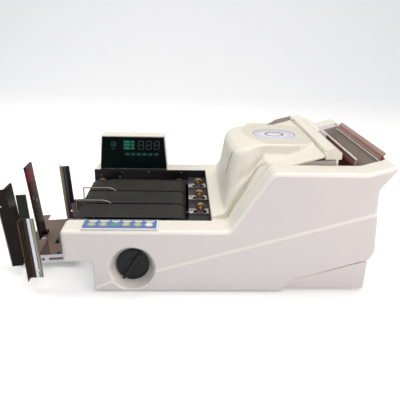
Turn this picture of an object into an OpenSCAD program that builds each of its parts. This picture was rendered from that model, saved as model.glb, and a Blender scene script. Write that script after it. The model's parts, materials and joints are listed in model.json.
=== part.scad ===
// Horizontal sheet counting and sorting machine: hopper at one end, belt tray
// in the middle, stacker at the other end. Millimetres, +Z up, +X towards the
// hopper end, -X towards the stacker, -Y towards the operator ("near").
// Origin: centre of the footprint, on the table.

/* [Housing] */
// Overall width across the two side panels
body_w = 285; // [279:1:291]
// Height of the rim along the belt tray
tray_h = 81; // [80.5:0.25:82]
// Height of the rim along the hopper end
rim_h = 154; // [152:0.5:156]
// Wall thickness of the moulded panels
wall_t = 3; // [2.4:0.1:3.4]
// How far the lower skirt of a side panel stands proud
skirt_t = 2; // [1:0.25:2.5]

/* [Tray and belts] */
// Width of one transport belt
belt_w = 48; // [40:1:50]
// Spacing of the three belts
belt_pitch = 52.5; // [51:0.5:54]
// Height of the belts' carrying surface
belt_top = 72; // [71.5:0.1:72.5]
// Belt thickness
belt_t = 1.2; // [0.8:0.1:1.6]

/* [Speed knob] */
// Diameter of the knob
knob_d = 41; // [36:1:43]
// Diameter of the dish the knob sits in
dish_d = 56; // [52:1:57]
// Number of grip flutes on the knob
knob_flutes = 24; // [12:2:30]

/* [Display] */
// Width of the display housing at its foot
disp_w = 109; // [100:1:112]
// Height of the display above the tray rim
disp_h = 53.5; // [48:0.5:56]
// Digit height
digit_h = 14.2; // [12:0.1:15]

/* [Stacker] */
// Lean of the stop paddles from upright, degrees
paddle_lean = 6.4; // [5:0.1:7]
// Tilt of the whole stacker, outer end low, degrees
stacker_tilt = 4; // [2:0.5:5]
// Height of the near post
post_near_h = 78; // [60:1:84]
// Height of the far post
post_far_h = 87; // [60:1:92]
// Height of the far paddle
paddle_far_h = 109; // [90:1:112]
// Height of the near paddle
paddle_near_h = 105; // [90:1:108]

/* [Hidden] */
$fn = 48;

cream = [0.90, 0.88, 0.80];
grey = [0.75, 0.74, 0.77];
black = [0.07, 0.07, 0.08];
chrome = [0.80, 0.81, 0.83];

// ---- helpers; a span is [low, high], a side is -1 near or 1 far ----
sides = [-1, 1];
function around(mid, half) = [mid - half, mid + half];
function grow(span, d) = [span[0] - d, span[1] + d];
// y span on one side, from distances off the centre plane
function side_span(side, inner, outer) = side > 0 ? [inner, outer] : [-outer, -inner];
// point [x, z] turned about a centre, outer end down
function turn(p, c, a) = [
  c[0] + (p[0] - c[0]) * cos(a) - (p[1] - c[1]) * sin(a),
  c[1] + (p[0] - c[0]) * sin(a) + (p[1] - c[1]) * cos(a)
];
// seven points of an arc in side view
function arc(centre, r, start, end) = [
  for (i = [0:6])
    let (a = start + (end - start) * i / 6) centre + r * [cos(a), sin(a)]
];
// plan outline from the half on one side of the x axis
function mirrored(half) =
  concat(half, [for (i = [len(half) - 1 : -1 : 0]) [half[i][0], -half[i][1]]]);

module box(xs, ys, zs) {
  translate([xs[0], ys[0], zs[0]]) cube([xs[1] - xs[0], ys[1] - ys[0], zs[1] - zs[0]]);
}
// side-view outline [x, z] carried along y
module plate_y(points, ys) {
  translate([0, ys[1], 0]) rotate([90, 0, 0]) linear_extrude(ys[1] - ys[0]) polygon(points);
}
// plan outline [x, y] raised from z
module slice(z, h, points) {
  translate([0, 0, z]) linear_extrude(h) polygon(points);
}
// cylinder along y; axis is [x, z]
module rod_y(axis, ys, r) {
  translate([axis[0], ys[1], axis[1]]) rotate([90, 0, 0]) cylinder(h = ys[1] - ys[0], r = r);
}
module rod_x(y, z, xs, r) {
  translate([xs[0], y, z]) rotate([0, 90, 0]) cylinder(h = xs[1] - xs[0], r = r);
}
// leans a part outwards about the point [x, z] at its foot
module lean(foot, a) {
  translate([foot[0], 0, foot[1]]) rotate([0, -a, 0]) translate([-foot[0], 0, -foot[1]]) children();
}

// ---- layout ----
half_w = body_w / 2;         // over the skirts
upper_y = half_w - skirt_t;  // outer face of a side panel above the skirt
rim_y = 106;                 // inner edge of the rim strip
frame_in = 103.5;            // frame plate, inner face
frame_out = 105.5;           // frame plate, outer face
through = [-120, 120];       // y span that clears both frame plates
pan_top = 6;
knob_axis = [-60, 32];

// shaft axes [x, z] and running parts
belt_r = 12;                 // outside of a belt round its drum
belt_gap = 0.06;             // between a belt and what it runs on
drum_r = belt_r - belt_t - belt_gap;
idler = [-131, belt_top - belt_r];
drive = [-6, belt_top - belt_r];
exit = [24, 62];
feed = [186, 58];
separator = [181, 96.3];
shafts = [idler, drive, exit, feed, separator];
motor_axis = [60, 30];
shaft_r = 3;
shaft_end = 105.6;
exit_r = 9;
pinch_r = 6;
pinch_axis = [exit[0], exit[1] + exit_r + pinch_r + 0.05];
drive_pulley_r = 15;
motor_pulley_r = 7;
lanes = [for (i = [-1:1]) i * belt_pitch];
feed_lanes = [-60, -20, 20, 60];
hinge = [170.8, 167.5];      // axis the cover opens about

// stacker, drawn level and then tilted
pivot = [-142, 40];
near_foot = [-210, 14];      // paddle faces meet the floor here
far_foot = [-207, 14];
paddle_turn = paddle_lean - stacker_tilt;
near_paddle_z = [14.2, 14.2 + paddle_near_h];
near_flange_x = near_foot[0] - 12.5;
stacker_y = 62;              // far side of the stacker floor
near_rail_y = [-130.1, -128.5];
far_rail_y = [stacker_y + 0.1, stacker_y + 1.7];

// footprint: from the top corner of the near paddle's flange to the rear lip
x_left = turn(turn([near_flange_x, near_paddle_z[1]], near_foot, paddle_turn),
  pivot, stacker_tilt)[0];
x_right = 247.3;
mid_x = (x_left + x_right) / 2;
module place() { translate([-mid_x, 0, 0]) children(); }
module tilt() { place() lean(pivot, stacker_tilt) children(); }

// ---- housing ----
// side-view outline [x, z] of a side panel, moved inwards by d
function panel_pts(d) = concat(
  [[-142 + d, 40 + d], [-144 + d, tray_h - 5 - d]],
  d == 0 ? arc([-139, tray_h - 5], 5, 170, 90) : [[-144 + d, tray_h - d]],
  [[56 + 0.55 * d, tray_h - d], [103.7 + 0.55 * d, rim_h - d], [213.7, rim_h - d],
   [245.3 - 1.4 * d, 163 - 1.2 * d], [x_right - 1.6 * d, 157.4 - (d > 5 ? 1.3 : 0.5) * d],
   [229.2 - d, 133], [230 - d, 110], [233.6 - d, 56], [228 - d, 45 + d],
   [135 - 0.5 * d, 18 + d]],
  d == 0 ? [[122, 2.4], [-106, 2.4], [-107, 30]]
         : [[120 - 0.5 * d, -1], [-106 + d, -1], [-107 + d, 30]],
  d == 0 ? arc([-113, 34], 6, 10, 90) : [[-108 + 0.9 * d, 40 + d]]
);
// lower skirt [x, z], below the ridge line
skirt_pts = [
  [-107.6, 7.6], [-87.5, 15.8], [-78, 26], [-42, 30], [-32.6, 31.2], [231.7, 108],
  [235.3, 55.6], [229, 43.5], [135, 16.6], [123, 1.2], [-107.6, 1.2]
];

// hollow side panel, drawn on the near side, with or without the knob dish
module panel(dished) {
  difference() {
    union() {
      difference() {
        union() {
          plate_y(panel_pts(0), [-upper_y, -rim_y]);
          plate_y(skirt_pts, [-half_w, -upper_y + 1.4]);
        }
        plate_y(panel_pts(wall_t), [-upper_y + wall_t, -rim_y - wall_t]);
        // opening in the inner wall leaves a border all round
        plate_y(panel_pts(13), [-rim_y - wall_t - 1, -rim_y + 1]);
      }
      if (dished) rod_y(knob_axis, [-upper_y + 1, -half_w + 19], dish_d / 2 - 1);
    }
    if (dished) {
      translate([knob_axis[0], -half_w - 0.01, knob_axis[1]]) rotate([-90, 0, 0])
        cylinder(h = 16, r1 = dish_d / 2, r2 = knob_d / 2 + 1.8);
      rod_y(knob_axis, [-half_w, -rim_y], 3.6);
    }
  }
}
module side_panel_near() {
  color(grey) place() difference() {
    panel(true);
    // channel for the stacker's rail
    box([-150, -87], grow(near_rail_y, 1.1), [33, 55]);
  }
}
module side_panel_far() {
  color(grey) place() mirror([0, 1, 0]) panel(false);
}

module at_feet() {
  for (x = [-88, 205], y = [-88, 88]) translate([x, y, 0]) children();
}
plinth_pts = [[124, 4], [226, 4], [227, 39.5], [221, 39.5], [136, 15], [133.4, 15]];

// chassis tray between the panels, its hopper end shows below the skirts
module base_pan() {
  color(grey) place() difference() {
    union() {
      box([-103, 226], around(0, frame_out + 0.4), [4, pan_top]);
      plate_y(plinth_pts, around(0, half_w - 6));
      // guide for the stacker's far rail
      box([-103, -90], [stacker_y - 3, stacker_y + 5], [5, 47.6]);
    }
    box([116, 223], around(0, frame_out + 0.2), [pan_top, 60]);
    box([-104, -89], [stacker_y - 0.2, stacker_y + 2], [30, 50]);
    for (side = sides) {
      // hollow end of the plinth
      plate_y([[140, 7], [222, 7], [224, 50], [140, 50]],
        side_span(side, frame_out + 3.2, half_w - 9));
      // floor slots
      for (x = [165 : 9 : 210]) box([x, x + 4], around(side * 50, 22), [3, 7]);
    }
    // holes for the studs of the feet
    at_feet() translate([0, 0, 3]) cylinder(h = 4, r = 2.05);
  }
}
module rubber_feet() {
  color(black) place() at_feet() {
    cylinder(h = 4, r1 = 7, r2 = 8);
    translate([0, 0, 3.9]) cylinder(h = 3.6, r = 2);
  }
}

// openings in the rear panel
inlet_y = [40, 68];
inlet_z = [50, 71];
switch_y = [72, 93.4];
switch_mid_z = 57.1;
// outline [x, z]: outer face upwards, then inner face down
rear_pts = [
  [226, 41], [229, 44], [228.6, 60], [228.4, 133], [246.6, 157.4], [245.2, 161.8],
  [243.8, 161.2], [243.9, 158.2], [226, 134], [225.6, 60], [225.6, 41]
];
module rear_panel() {
  color(grey) place() difference() {
    plate_y(rear_pts, around(0, rim_y - 0.3));
    box([215, 240], inlet_y, inlet_z);
    box([215, 240], switch_y, around(switch_mid_z, 7.1));
  }
}

// ---- frame and tray ----
// steel frame plate [x, z]: tray wall at the -x end, bearing plate at the +x end
frame_pts = [
  [-143, 52], [-143, tray_h - 0.6], [36, tray_h - 0.6], [36.5, 70], [57, 70], [99, 140],
  [170, 148], [221, 150], [221, 60], [221, 8], [-100, 8], [-102, 38], [-108, 52]
];
module frame_plate(side) {
  difference() {
    plate_y(frame_pts, side_span(side, frame_in, frame_out));
    for (axis = shafts) rod_y(axis, through, 5);
    if (side > 0) rod_y(motor_axis, [80, 120], 10);
    for (x = [-98, -2]) rod_y([x, 76], through, 1.6);
  }
}
module frame_plate_near() { color(black) place() frame_plate(-1); }
module frame_plate_far() { color(black) place() frame_plate(1); }

low_deck = [63.4, 65.4];     // z span under the belts
high_deck = [68, 70];        // z span of the sheet path
deck_y = around(0, 101.7);
mouth_x = 36;                // +x end of the tray, where the cover begins

// deck under the belts, raised at the sheet mouth
module tray_floor() {
  color(black) place() difference() {
    union() {
      box([-117, mouth_x], deck_y, low_deck);
      box([8.6, mouth_x], deck_y, [65.3, high_deck[1]]);
      // sheet path under the cover
      box([mouth_x - 0.1, 166], deck_y, high_deck);
      // side tabs that meet the frame plates
      for (x = [-105, -50, 45, 120])
        box([x, x + 18], around(0, frame_in - 0.04), x < 0 ? low_deck : high_deck);
    }
    // opening over the drive drums
    box([-20, 8.6], around(0, 80), [60, 72]);
    // clearance over the exit shaft
    box(around(exit[0], 3.4), around(0, 110), [60, 65.3]);
    for (y = lanes) box(around(exit[0], 10.6), around(y, 7), [60, 72]);
  }
}

// solid loop round both drums, less its inside
module belt(y) {
  outer = around(y, belt_w / 2);
  inner = grow(outer, 1);
  color([0.17, 0.15, 0.13]) place() difference() {
    union() {
      rod_y(idler, outer, belt_r);
      rod_y(drive, outer, belt_r);
      box([idler[0], drive[0]], outer, [belt_top - 2 * belt_r, belt_top]);
    }
    rod_y(idler, inner, belt_r - belt_t);
    rod_y(drive, inner, belt_r - belt_t);
    box([idler[0], drive[0]], inner, [belt_top - 2 * belt_r + belt_t, belt_top - belt_t]);
  }
}
module belt_near() { belt(lanes[0]); }
module belt_mid() { belt(lanes[1]); }
module belt_far() { belt(lanes[2]); }

// flanged bushes that carry the shafts in the frame plates
module shaft_bushes() {
  color([0.72, 0.55, 0.28]) place() for (axis = shafts, side = sides) difference() {
    union() {
      rod_y(axis, side_span(side, frame_in - 0.03, frame_out + 0.4), 4.98);
      rod_y(axis, side_span(side, frame_in - 1.5, frame_in - 0.03), 6.5);
    }
    rod_y(axis, through, shaft_r + 0.05);
  }
}

// shaft with equal drums centred on the given y places
module roller(axis, drum_ys, half_l, r, end = shaft_end) {
  rod_y(axis, [-shaft_end, end], shaft_r);
  for (y = drum_ys) rod_y(axis, around(y, half_l), r);
}
module idler_roller() {
  color(chrome) place() roller(idler, lanes, 22, drum_r);
}
module drive_roller() {
  color(chrome) place() {
    roller(drive, lanes, 22, drum_r, end = 127);
    // flanged pulley outside the far frame plate
    rod_y(drive, [112, 121], drive_pulley_r);
    for (y = [111, 121]) rod_y(drive, [y, y + 1], drive_pulley_r + 2);
  }
}
module exit_roller() {
  color([0.2, 0.2, 0.2]) place() roller(exit, lanes, 5, exit_r);
}
module feed_roller() {
  color([0.25, 0.22, 0.2]) place() roller(feed, feed_lanes, 10, 19);
}
module separator_roller() {
  color([0.5, 0.48, 0.45]) place() roller(separator, feed_lanes, 8, 18);
}

// sprung clip that carries one pinch roller
module pinch_bracket(y) {
  foot_z = high_deck[1] + 0.02;
  clip_x = [8.8, mouth_x];
  color(chrome) place() {
    difference() {
      box(clip_x, [y - 10, y + 11], [foot_z, 71.2]);
      box(around(exit[0], 8.6), around(y, 5.4), [69, 73]);
      translate([12, y + 5, 69]) cylinder(h = 4, r = 1.6);
    }
    // ears
    for (side = sides) {
      ear_y = around(y + side * 7.6, 0.6);
      difference() {
        union() {
          box(around(exit[0], 3.5), ear_y, [71.1, 77]);
          rod_y(pinch_axis, ear_y, 3.5);
        }
        rod_y(pinch_axis, around(y, 12), 1.55);
      }
    }
    // turned-up near edge
    box(clip_x, [y - 10.9, y - 9.9], [foot_z, 73.4]);
  }
}
module pinch_bracket_near() { pinch_bracket(lanes[0]); }
module pinch_bracket_mid() { pinch_bracket(lanes[1]); }
module pinch_bracket_far() { pinch_bracket(lanes[2]); }

// ball-race pinch roller with its pin
module pinch_roller(y) {
  color([0.78, 0.58, 0.27]) place() {
    difference() {
      rod_y(pinch_axis, around(y, 3), pinch_r);
      // ring groove in each face
      for (side = sides) difference() {
        rod_y(pinch_axis, around(y + side * 2.55, 0.55), 4.6);
        rod_y(pinch_axis, around(y, 4), 2.6);
      }
    }
    rod_y(pinch_axis, around(y, 9.6), 1.5);
    rod_y(pinch_axis, around(y, 6.6), 2.4);
  }
}
module pinch_roller_near() { pinch_roller(lanes[0]); }
module pinch_roller_mid() { pinch_roller(lanes[1]); }
module pinch_roller_far() { pinch_roller(lanes[2]); }

// wire finger that holds sheets down as they leave the belts
module sheet_wire(y) {
  wire_r = 0.9;
  post_x = -146.5;
  tip_x = -112;
  top_z = 76;
  foot_z = 55;
  bend_r = 1.8;
  tip_r = 22;
  color(chrome) place() {
    // short stub across the top corner
    rod_y([post_x, top_z], [y - 0.001, y + 0.801], wire_r);
    translate([post_x, y, foot_z]) cylinder(h = top_z - bend_r - foot_z, r = wire_r);
    translate([post_x + bend_r, y, top_z - bend_r]) rotate([90, 180, 0])
      rotate_extrude(angle = -90) translate([bend_r, 0]) circle(r = wire_r);
    rod_x(y, top_z, [post_x + bend_r, tip_x], wire_r);
    // tip curving down
    translate([tip_x, y, top_z - tip_r]) rotate([90, 0, 0]) rotate([0, 0, 90])
      rotate_extrude(angle = -36) translate([tip_r, 0]) circle(r = wire_r);
    // foot under the deck
    rod_x(y, foot_z, [-147.2, -110], wire_r);
  }
}
module sheet_wire_near() { sheet_wire(-belt_pitch / 2); }
module sheet_wire_far() { sheet_wire(belt_pitch / 2); }

// ---- display tower on the far rim ----
disp_x0 = -134;
disp_x1 = disp_x0 + disp_w;
disp_top = tray_h + disp_h;
disp_y = rim_y + 0.2;        // foot of the leaning face

// frame of the leaning face: y = 0 on the face, z = 0 at the rim
module on_face() { translate([0, disp_y, tray_h]) rotate([-6.5, 0, 0]) children(); }
// outline on the face: inset at the foot, foot height, top insets, drop from the top
function face_pts(foot, z, left, right, drop) = [
  [disp_x0 + foot, z], [disp_x0 + left, disp_h - drop],
  [disp_x1 - right, disp_h - drop], [disp_x1 - foot, z]
];
// tower before its face is cut, moved inwards by d
module display_block(d) {
  foot_z = tray_h + (d > 0 ? -1 : 0.02);
  plate_y([[disp_x0 + d, foot_z], [disp_x0 + 3.5 + d, disp_top - d],
    [disp_x1 - 5 - d, disp_top - d], [disp_x1 - d, foot_z]],
    [disp_y + d, upper_y - 1 - d]);
}
// takes off all that is in front of the given depth
module face_cut(depth) { on_face() box([-200, 50], [-20, depth], [-20, 80]); }

module display_housing() {
  color(cream) place() difference() {
    display_block(0);
    face_cut(0);
    // cavity
    difference() {
      display_block(2.4);
      face_cut(2.6);
    }
    // window recess and the opening behind it
    on_face() {
      plate_y(face_pts(1, 0.6, 4.2, 5.8, 1.1), [-1, 1.6]);
      plate_y(face_pts(8, 8, 10, 12, 6), [-1, 4]);
    }
  }
}
module display_window() {
  color([0.03, 0.10, 0.08, 0.6]) place() on_face()
    plate_y(face_pts(1.3, 0.9, 4.45, 6.05, 1.4), [0.05, 1.5]);
}
module display_board() {
  color([0.05, 0.30, 0.18]) place() on_face()
    box([disp_x0 + 14, disp_x1 - 16], [10, 11.6], [9, disp_h - 9]);
}
module lamp(x, w, z, h = 4) { box([x, x + w], [3.5, 10], [z, z + h]); }
// digit blocks, two columns of lamps and a row of lamps below
module display_leds() {
  row_z = 32;
  color([0.1, 0.5, 0.35]) place() on_face() {
    for (i = [0:2]) {
      lamp(-72.5 + i * 12.7, 10, row_z, digit_h + 1.5);
      lamp(-95, 9.5, row_z + i * 5.3);
      lamp(-83.5, 4.5, row_z + i * 5.3);
    }
    for (i = [0:5]) lamp(-94 + i * 9.6, 7, 21.5);
  }
}

// ---- key strip on the near rim ----
lime = [0.80, 0.84, 0.62];
key_colours = [lime, lime, [0.42, 0.74, 0.62], lime, lime, [0.95, 0.94, 0.9]];
module at_key(i, z) { translate([-108.5 + 13.7 * i, -125.5, z]) children(); }

module button_plate() {
  color([0.35, 0.49, 0.75]) place() difference() {
    box([-120, -29], [-upper_y + 3, -rim_y - 3.5], [tray_h + 0.02, tray_h + 1.6]);
    for (i = [0:5]) at_key(i, tray_h - 1) cylinder(h = 4, r = 4.7);
  }
}
// round key with a bevelled top edge
module button(i) {
  color(key_colours[i]) place() at_key(i, tray_h + 0.9) {
    cylinder(h = 1.6, r = 4.4);
    translate([0, 0, 1.6]) cylinder(h = 0.5, r1 = 4.4, r2 = 3.7);
  }
}
module button_1() { button(0); }
module button_2() { button(1); }
module button_3() { button(2); }
module button_4() { button(3); }
module button_5() { button(4); }
module button_6() { button(5); }

// ---- speed knob ----
// fluted knob with a bar grip and a pointer, drawn facing up
module speed_knob() {
  knob_r = knob_d / 2;
  pointer_a = -122;
  color(black) place()
    translate([knob_axis[0], -half_w + 15.4, knob_axis[1]]) rotate([90, 0, 0]) difference() {
      union() {
        cylinder(h = 3, r = knob_r);
        translate([0, 0, 3]) cylinder(h = 1.5, r1 = knob_r, r2 = knob_r - 1.5);
        // bar grip and its pointer tip
        rotate([0, 0, pointer_a]) {
          translate([-knob_r + 3, -2.5, 4]) cube([knob_d - 4, 5, 5.6]);
          translate([knob_r - 3, -1.4, 0.5]) cube([4.3, 2.8, 5]);
        }
        translate([0, 0, 4]) cylinder(h = 1.4, r = 9);
        // stem
        translate([0, 0, -9]) cylinder(h = 9.5, r = 3.3);
      }
      // flutes, left out beside the pointer
      for (a = [0 : 360 / knob_flutes : 359])
        if (abs(a - 360 - pointer_a) > 12)
          rotate([0, 0, a]) translate([knob_r + 0.7, 0, -1]) cylinder(h = 6, r = 1.3);
    }
}
module knob_encoder() {
  color([0.4, 0.42, 0.45]) place() {
    box(around(knob_axis[0], 10), [-half_w + 25.5, -rim_y - 1], around(knob_axis[1], 10));
    rod_y(knob_axis, [-half_w + 24.6, -half_w + 25.6], 5);
  }
}

// ---- top cover ----
dome_z = 167.5;
sheet_z = rim_h + 0.6;       // top of the level part of the cover sheet
dome_pts = mirrored([[57, -60], [60, -71], [66, -76], [75, -74], [92, -63], [150, -63],
  [170.4, -50]]);
// sheet [x, z]: top face, then underside
sheet_pts = [
  [36.4, tray_h], [51, tray_h], [56.5, tray_h], [103.7, sheet_z], [131, sheet_z], [170.4, 166],
  [170.4, 166 - wall_t], [131, sheet_z - wall_t], [105.4, sheet_z - wall_t],
  [58, tray_h - wall_t], [36.4, tray_h - wall_t]
];
// space below the sheet [x, z]
under_pts = [
  [30, 60], [36, tray_h - wall_t], [58, tray_h - wall_t], [105.4, sheet_z - wall_t],
  [131, sheet_z - wall_t], [175, 167.5 - wall_t], [175, 60]
];
// raised flange and slope around the dome [x, z]
flange_pts = [
  [36.4, tray_h - 0.5], [36.4, tray_h + 3.8], [53, tray_h + 7.6], [73, tray_h + 40],
  [90, tray_h + 58.5], [102.5, rim_h + 0.2], [103.7, rim_h], [56.5, tray_h - 0.5]
];
// tray-side face of the dome, moved inwards by d
module bulge(d) {
  hull() {
    slice(tray_h - 2, 0.5, mirrored([[47 + d, 78 - d], [50 + d, 82 - d], [60, 82 - d]]));
    slice(dome_z - 1 - d, 1, mirrored([[57 + d, -58], [60 + d, -70], [66 + d, -76 + d],
      [75, -74 + d], [92, -63 + d]]));
    slice(rim_h - 8, 1, mirrored([[60, -72], [100, -63 + d]]));
  }
}
module top_cover() {
  color(cream) place() difference() {
    union() {
      plate_y(sheet_pts, around(0, 105.3));
      bulge(0);
      slice(rim_h - 2, dome_z - rim_h + 2, dome_pts);
      plate_y(flange_pts, around(0, 86));
      // hinge eyes
      for (side = sides) rod_y(hinge, around(side * 104.4, 0.8), 2.4);
    }
    for (side = sides) {
      rod_y(hinge, around(side * 104.4, 1), 1.25);
      // clears the frame plates
      plate_y(under_pts, side_span(side, 64, 110));
    }
    bulge(wall_t);
    // inside of the dome
    slice(rim_h - 40, dome_z - rim_h + 40 - wall_t,
      mirrored([[92, -60], [149, -60], [167.2, -49]]));
    plate_y([[30, 60], [36, tray_h - wall_t], [58, tray_h - wall_t], [60, 60]], around(0, 110));
    // narrow sensor slot
    plate_y([[54, 120], [60, 120], [66, 150], [60, 150]], [-29, -28]);
  }
}

// ---- hopper ----
// hollow stepped cross bar over the mouth of the hopper
module hopper_bridge() {
  color(cream) place() {
    difference() {
      union() {
        plate_y([[171.2, 160], [172.4, 170.4], [181, 175], [191, 168.4], [191, 160.4]],
          around(0, 103));
        // wider ledge on the far half
        plate_y([[189, 160.4], [190, 168.6], [194, 170], [204, 163.6], [203, 158.6]], [14, 103]);
      }
      plate_y([[174, 159], [175.4, 168.4], [181, 171.6], [188.4, 166.6], [188.4, 159]],
        around(0, 100.4));
      plate_y([[188, 157], [188, 165.6], [193, 166.4], [200.4, 161.4], [200, 157]],
        [16.6, 100.4]);
    }
    for (side = sides) {
      // hinge pin of the cover and the block it grows from
      rod_y(hinge, side_span(side, 97, 105.1), 1.2);
      box([hinge[0], 173.6], side_span(side, 97, 103), [166.6, 168.4]);
      // foot beside the frame plate
      box([184.2, 187.4], side_span(side, 100.2, 103), [138, 169.4]);
    }
  }
}
module cheek(side) {
  color([0.25, 0.20, 0.21, 0.45]) place()
    plate_y([[133, 143], [133, rim_h - 2.4], [170.4, 162.2], [170.7, 159.7], [183.6, 159.3],
      [183.6, 143]], side_span(side, 101.2, 103.3));
}
module cheek_near() { cheek(-1); }
module cheek_far() { cheek(1); }
module hopper_front_plate() {
  color([0.55, 0.22, 0.20, 0.5]) place()
    plate_y([[208.4, 160.6], [210.6, 160.9], [203.8, 104], [201.6, 104.3]], [-101, 83.5]);
}
module hopper_rear_plate() {
  color([0.66, 0.42, 0.38, 0.5]) place()
    plate_y([[238.6, 157], [246, 167.3], [243.9, 168.8], [236.5, 158.5]], [-99, 79]);
}
// inner chute [x, z]: back wall and floor
chute_pts = [
  [240.6, 159], [242.3, 157.8], [225.2, 134.4], [224.2, 92], [209, 77.8], [204, 75],
  [203, 77.6], [208, 80.4], [222, 93.4], [223, 135]
];
chute_end_pts = [
  [207, 120], [223.2, 120], [223.5, 135], [241, 158.6], [238.5, 161.4], [213.7, 153.6],
  [206.5, 152]
];
module hopper_chute() {
  color([0.42, 0.37, 0.33]) place() difference() {
    union() {
      plate_y(chute_pts, around(0, 102));
      // thick end wall on the far side
      plate_y(chute_end_pts, [84, 103.2]);
    }
    // sensor holes
    for (axis = [[219, 145.5], [226, 145.2]]) rod_y(axis, [80, 96], 2.6);
    // slots for the feed drums
    for (y = feed_lanes) box([196, 214], around(y, 12), [60, 84]);
  }
}

// ---- drive and electrics ----
module motor() {
  mount_x = around(motor_axis[0], 26);
  color([0.35, 0.36, 0.38]) place() {
    rod_y(motor_axis, [30, 96], 20);
    rod_y(motor_axis, [96, 100], 9);
    rod_y(motor_axis, [27, 30], 12);
    // angle bracket
    box(mount_x, [96, 98.6], [6.1, 54]);
    box(mount_x, [60, 98.6], [pan_top + 0.02, 8.6]);
  }
}
module motor_pulley() {
  color([0.75, 0.76, 0.78]) place() {
    rod_y(motor_axis, [100.1, 122], 2.5);
    rod_y(motor_axis, [111.5, 121.5], motor_pulley_r);
    rod_y(motor_axis, [110.4, 111.5], motor_pulley_r + 2);
  }
}
// two discs joined along their outer tangents
module joined_discs(a, ra, b, rb, ys) {
  heading = atan2(b[1] - a[1], b[0] - a[0]);
  spread = acos((ra - rb) / norm(b - a));
  function tangent(c, r, s) =
    [c[0] + r * cos(heading + s * spread), c[1] + r * sin(heading + s * spread)];
  union() {
    rod_y(a, ys, ra);
    rod_y(b, ys, rb);
    plate_y([tangent(a, ra, 1), tangent(b, rb, 1), tangent(b, rb, -1), tangent(a, ra, -1)], ys);
  }
}
module drive_belt() {
  ys = [112.6, 120.4];
  drive_r = drive_pulley_r + belt_gap;
  motor_r = motor_pulley_r + belt_gap;
  loop_t = 1.4;
  color(black) place() difference() {
    joined_discs(drive, drive_r + loop_t, motor_axis, motor_r + loop_t, ys);
    joined_discs(drive, drive_r, motor_axis, motor_r, grow(ys, 1));
  }
}
module main_board() {
  top_z = 15.6;
  color([0.05, 0.33, 0.16]) place() {
    box([-80, 20], [-80, 10], [14, top_z]);
    // standoffs
    for (x = [-74, 14], y = [-74, 4]) translate([x, y, pan_top + 0.02]) cylinder(h = 8, r = 3);
    // components
    box([-60, -44], [-50, -34], [top_z, 19]);
    box([-30, -12], [-60, -30], [top_z, 22]);
    box([-2, 8], [-40, 0], [top_z, 25]);
  }
}
module power_supply() {
  color([0.5, 0.36, 0.2]) place() {
    box([130, 165], [-80, -30], [6.3, 36]);
    box([121, 174], [-70, -40], [6.3, 11]);
    box([136, 159], [-88, -22], [10, 32]);
  }
}
module power_inlet() {
  color(black) place() difference() {
    union() {
      box([219, 229.4], grow(inlet_y, -0.3), grow(inlet_z, -0.3));
      box([229.05, 231.4], grow(inlet_y, 3), grow(inlet_z, 2.4));
    }
    box([221, 233], grow(inlet_y, -3), grow(inlet_z, -3.4));
  }
}
module power_switch() {
  rocker_y = grow(switch_y, -1);
  color(black) place() difference() {
    union() {
      rod_y([226.4, switch_mid_z], rocker_y, 6.4);
      box([224.6, 229.6], rocker_y, around(switch_mid_z, 5.7));
    }
    box([215, 224.4], [70, 95], [45, 70]);
    // slanting outer face
    translate([233.4, 0, switch_mid_z]) rotate([0, -7, 0])
      box([-2.6, 6], [70, 95], around(0, 12));
  }
}

// ---- stacker ----
floor_z = [12, 13.6];
foot_z = 13.75;              // underside of the paddle and panel feet
pockets = [                  // three-cornered, plan [x, y]
  [[-182.8, -7], [-183.3, -28], [-175.6, -28.8]],
  [[-170.4, -54], [-173.3, -64], [-165.6, -65.5]]
];
module stacker_floor() {
  arm_x = [-190, -176];
  color([0.42, 0.32, 0.28]) tilt() difference() {
    union() {
      box([-222, -146], [-76, stacker_y], floor_z);
      box([-228, -216.5], [stacker_y - 14, stacker_y + 22], floor_z);
      // upstand that carries the far rail
      box([-170, -146], [stacker_y - 1.4, stacker_y], [12.1, 46]);
      // arm to the near rail
      box(arm_x, [-77.4, -75.9], [12.1, 42.6]);
      box(arm_x, [-128.4, -75.9], [41, 42.6]);
    }
    // finger hole
    translate([far_foot[0] + 1.5, -6, 10]) cylinder(h = 6, r = 5.5);
    for (corners = pockets) slice(12.6, 2, corners);
  }
}
module stacker_rail_near() {
  color(chrome) tilt() difference() {
    box([-184, -108], near_rail_y, [34.8, 45.6]);
    box([-161, -116], [-133, -125], [38.6, 41.8]);
    rod_y([-168, 40.2], [-140, -120], 1.8);
  }
}
module stacker_rail_far() {
  color(chrome) tilt() {
    difference() {
      box([-170, -84], far_rail_y, [33, 42]);
      box([-161, -92], [stacker_y - 1, stacker_y + 3], [36, 39]);
    }
    // lug with a rounded head
    box([-175, -169.9], far_rail_y, [16, 37]);
    rod_y([-172.4, 37], far_rail_y, 2.6);
  }
}
// angled post on the outside of a rail: end flange, web and rib
module stack_post(side, h, xs, z) {
  face = 0.1 + (side < 0 ? -near_rail_y[0] : far_rail_y[1]);
  rib_x = xs[0] + (xs[1] - xs[0]) * 0.52;
  zs = [z, z + h];
  color(chrome) tilt() difference() {
    union() {
      box([xs[0], xs[0] + 1.2], side_span(side, face, face + 10), zs);
      box(xs, side_span(side, face, face + 1.2), zs);
      box([rib_x, rib_x + 1.2], side_span(side, face, face + 2.4), zs);
    }
    rod_y([-176, 26], [-150, 100], 1.7);
  }
}
module stack_post_near() { stack_post(-1, post_near_h, [-187.5, -171], 16.5); }
module stack_post_far() { stack_post(1, post_far_h, [-185.5, -170.2], 13); }

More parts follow.
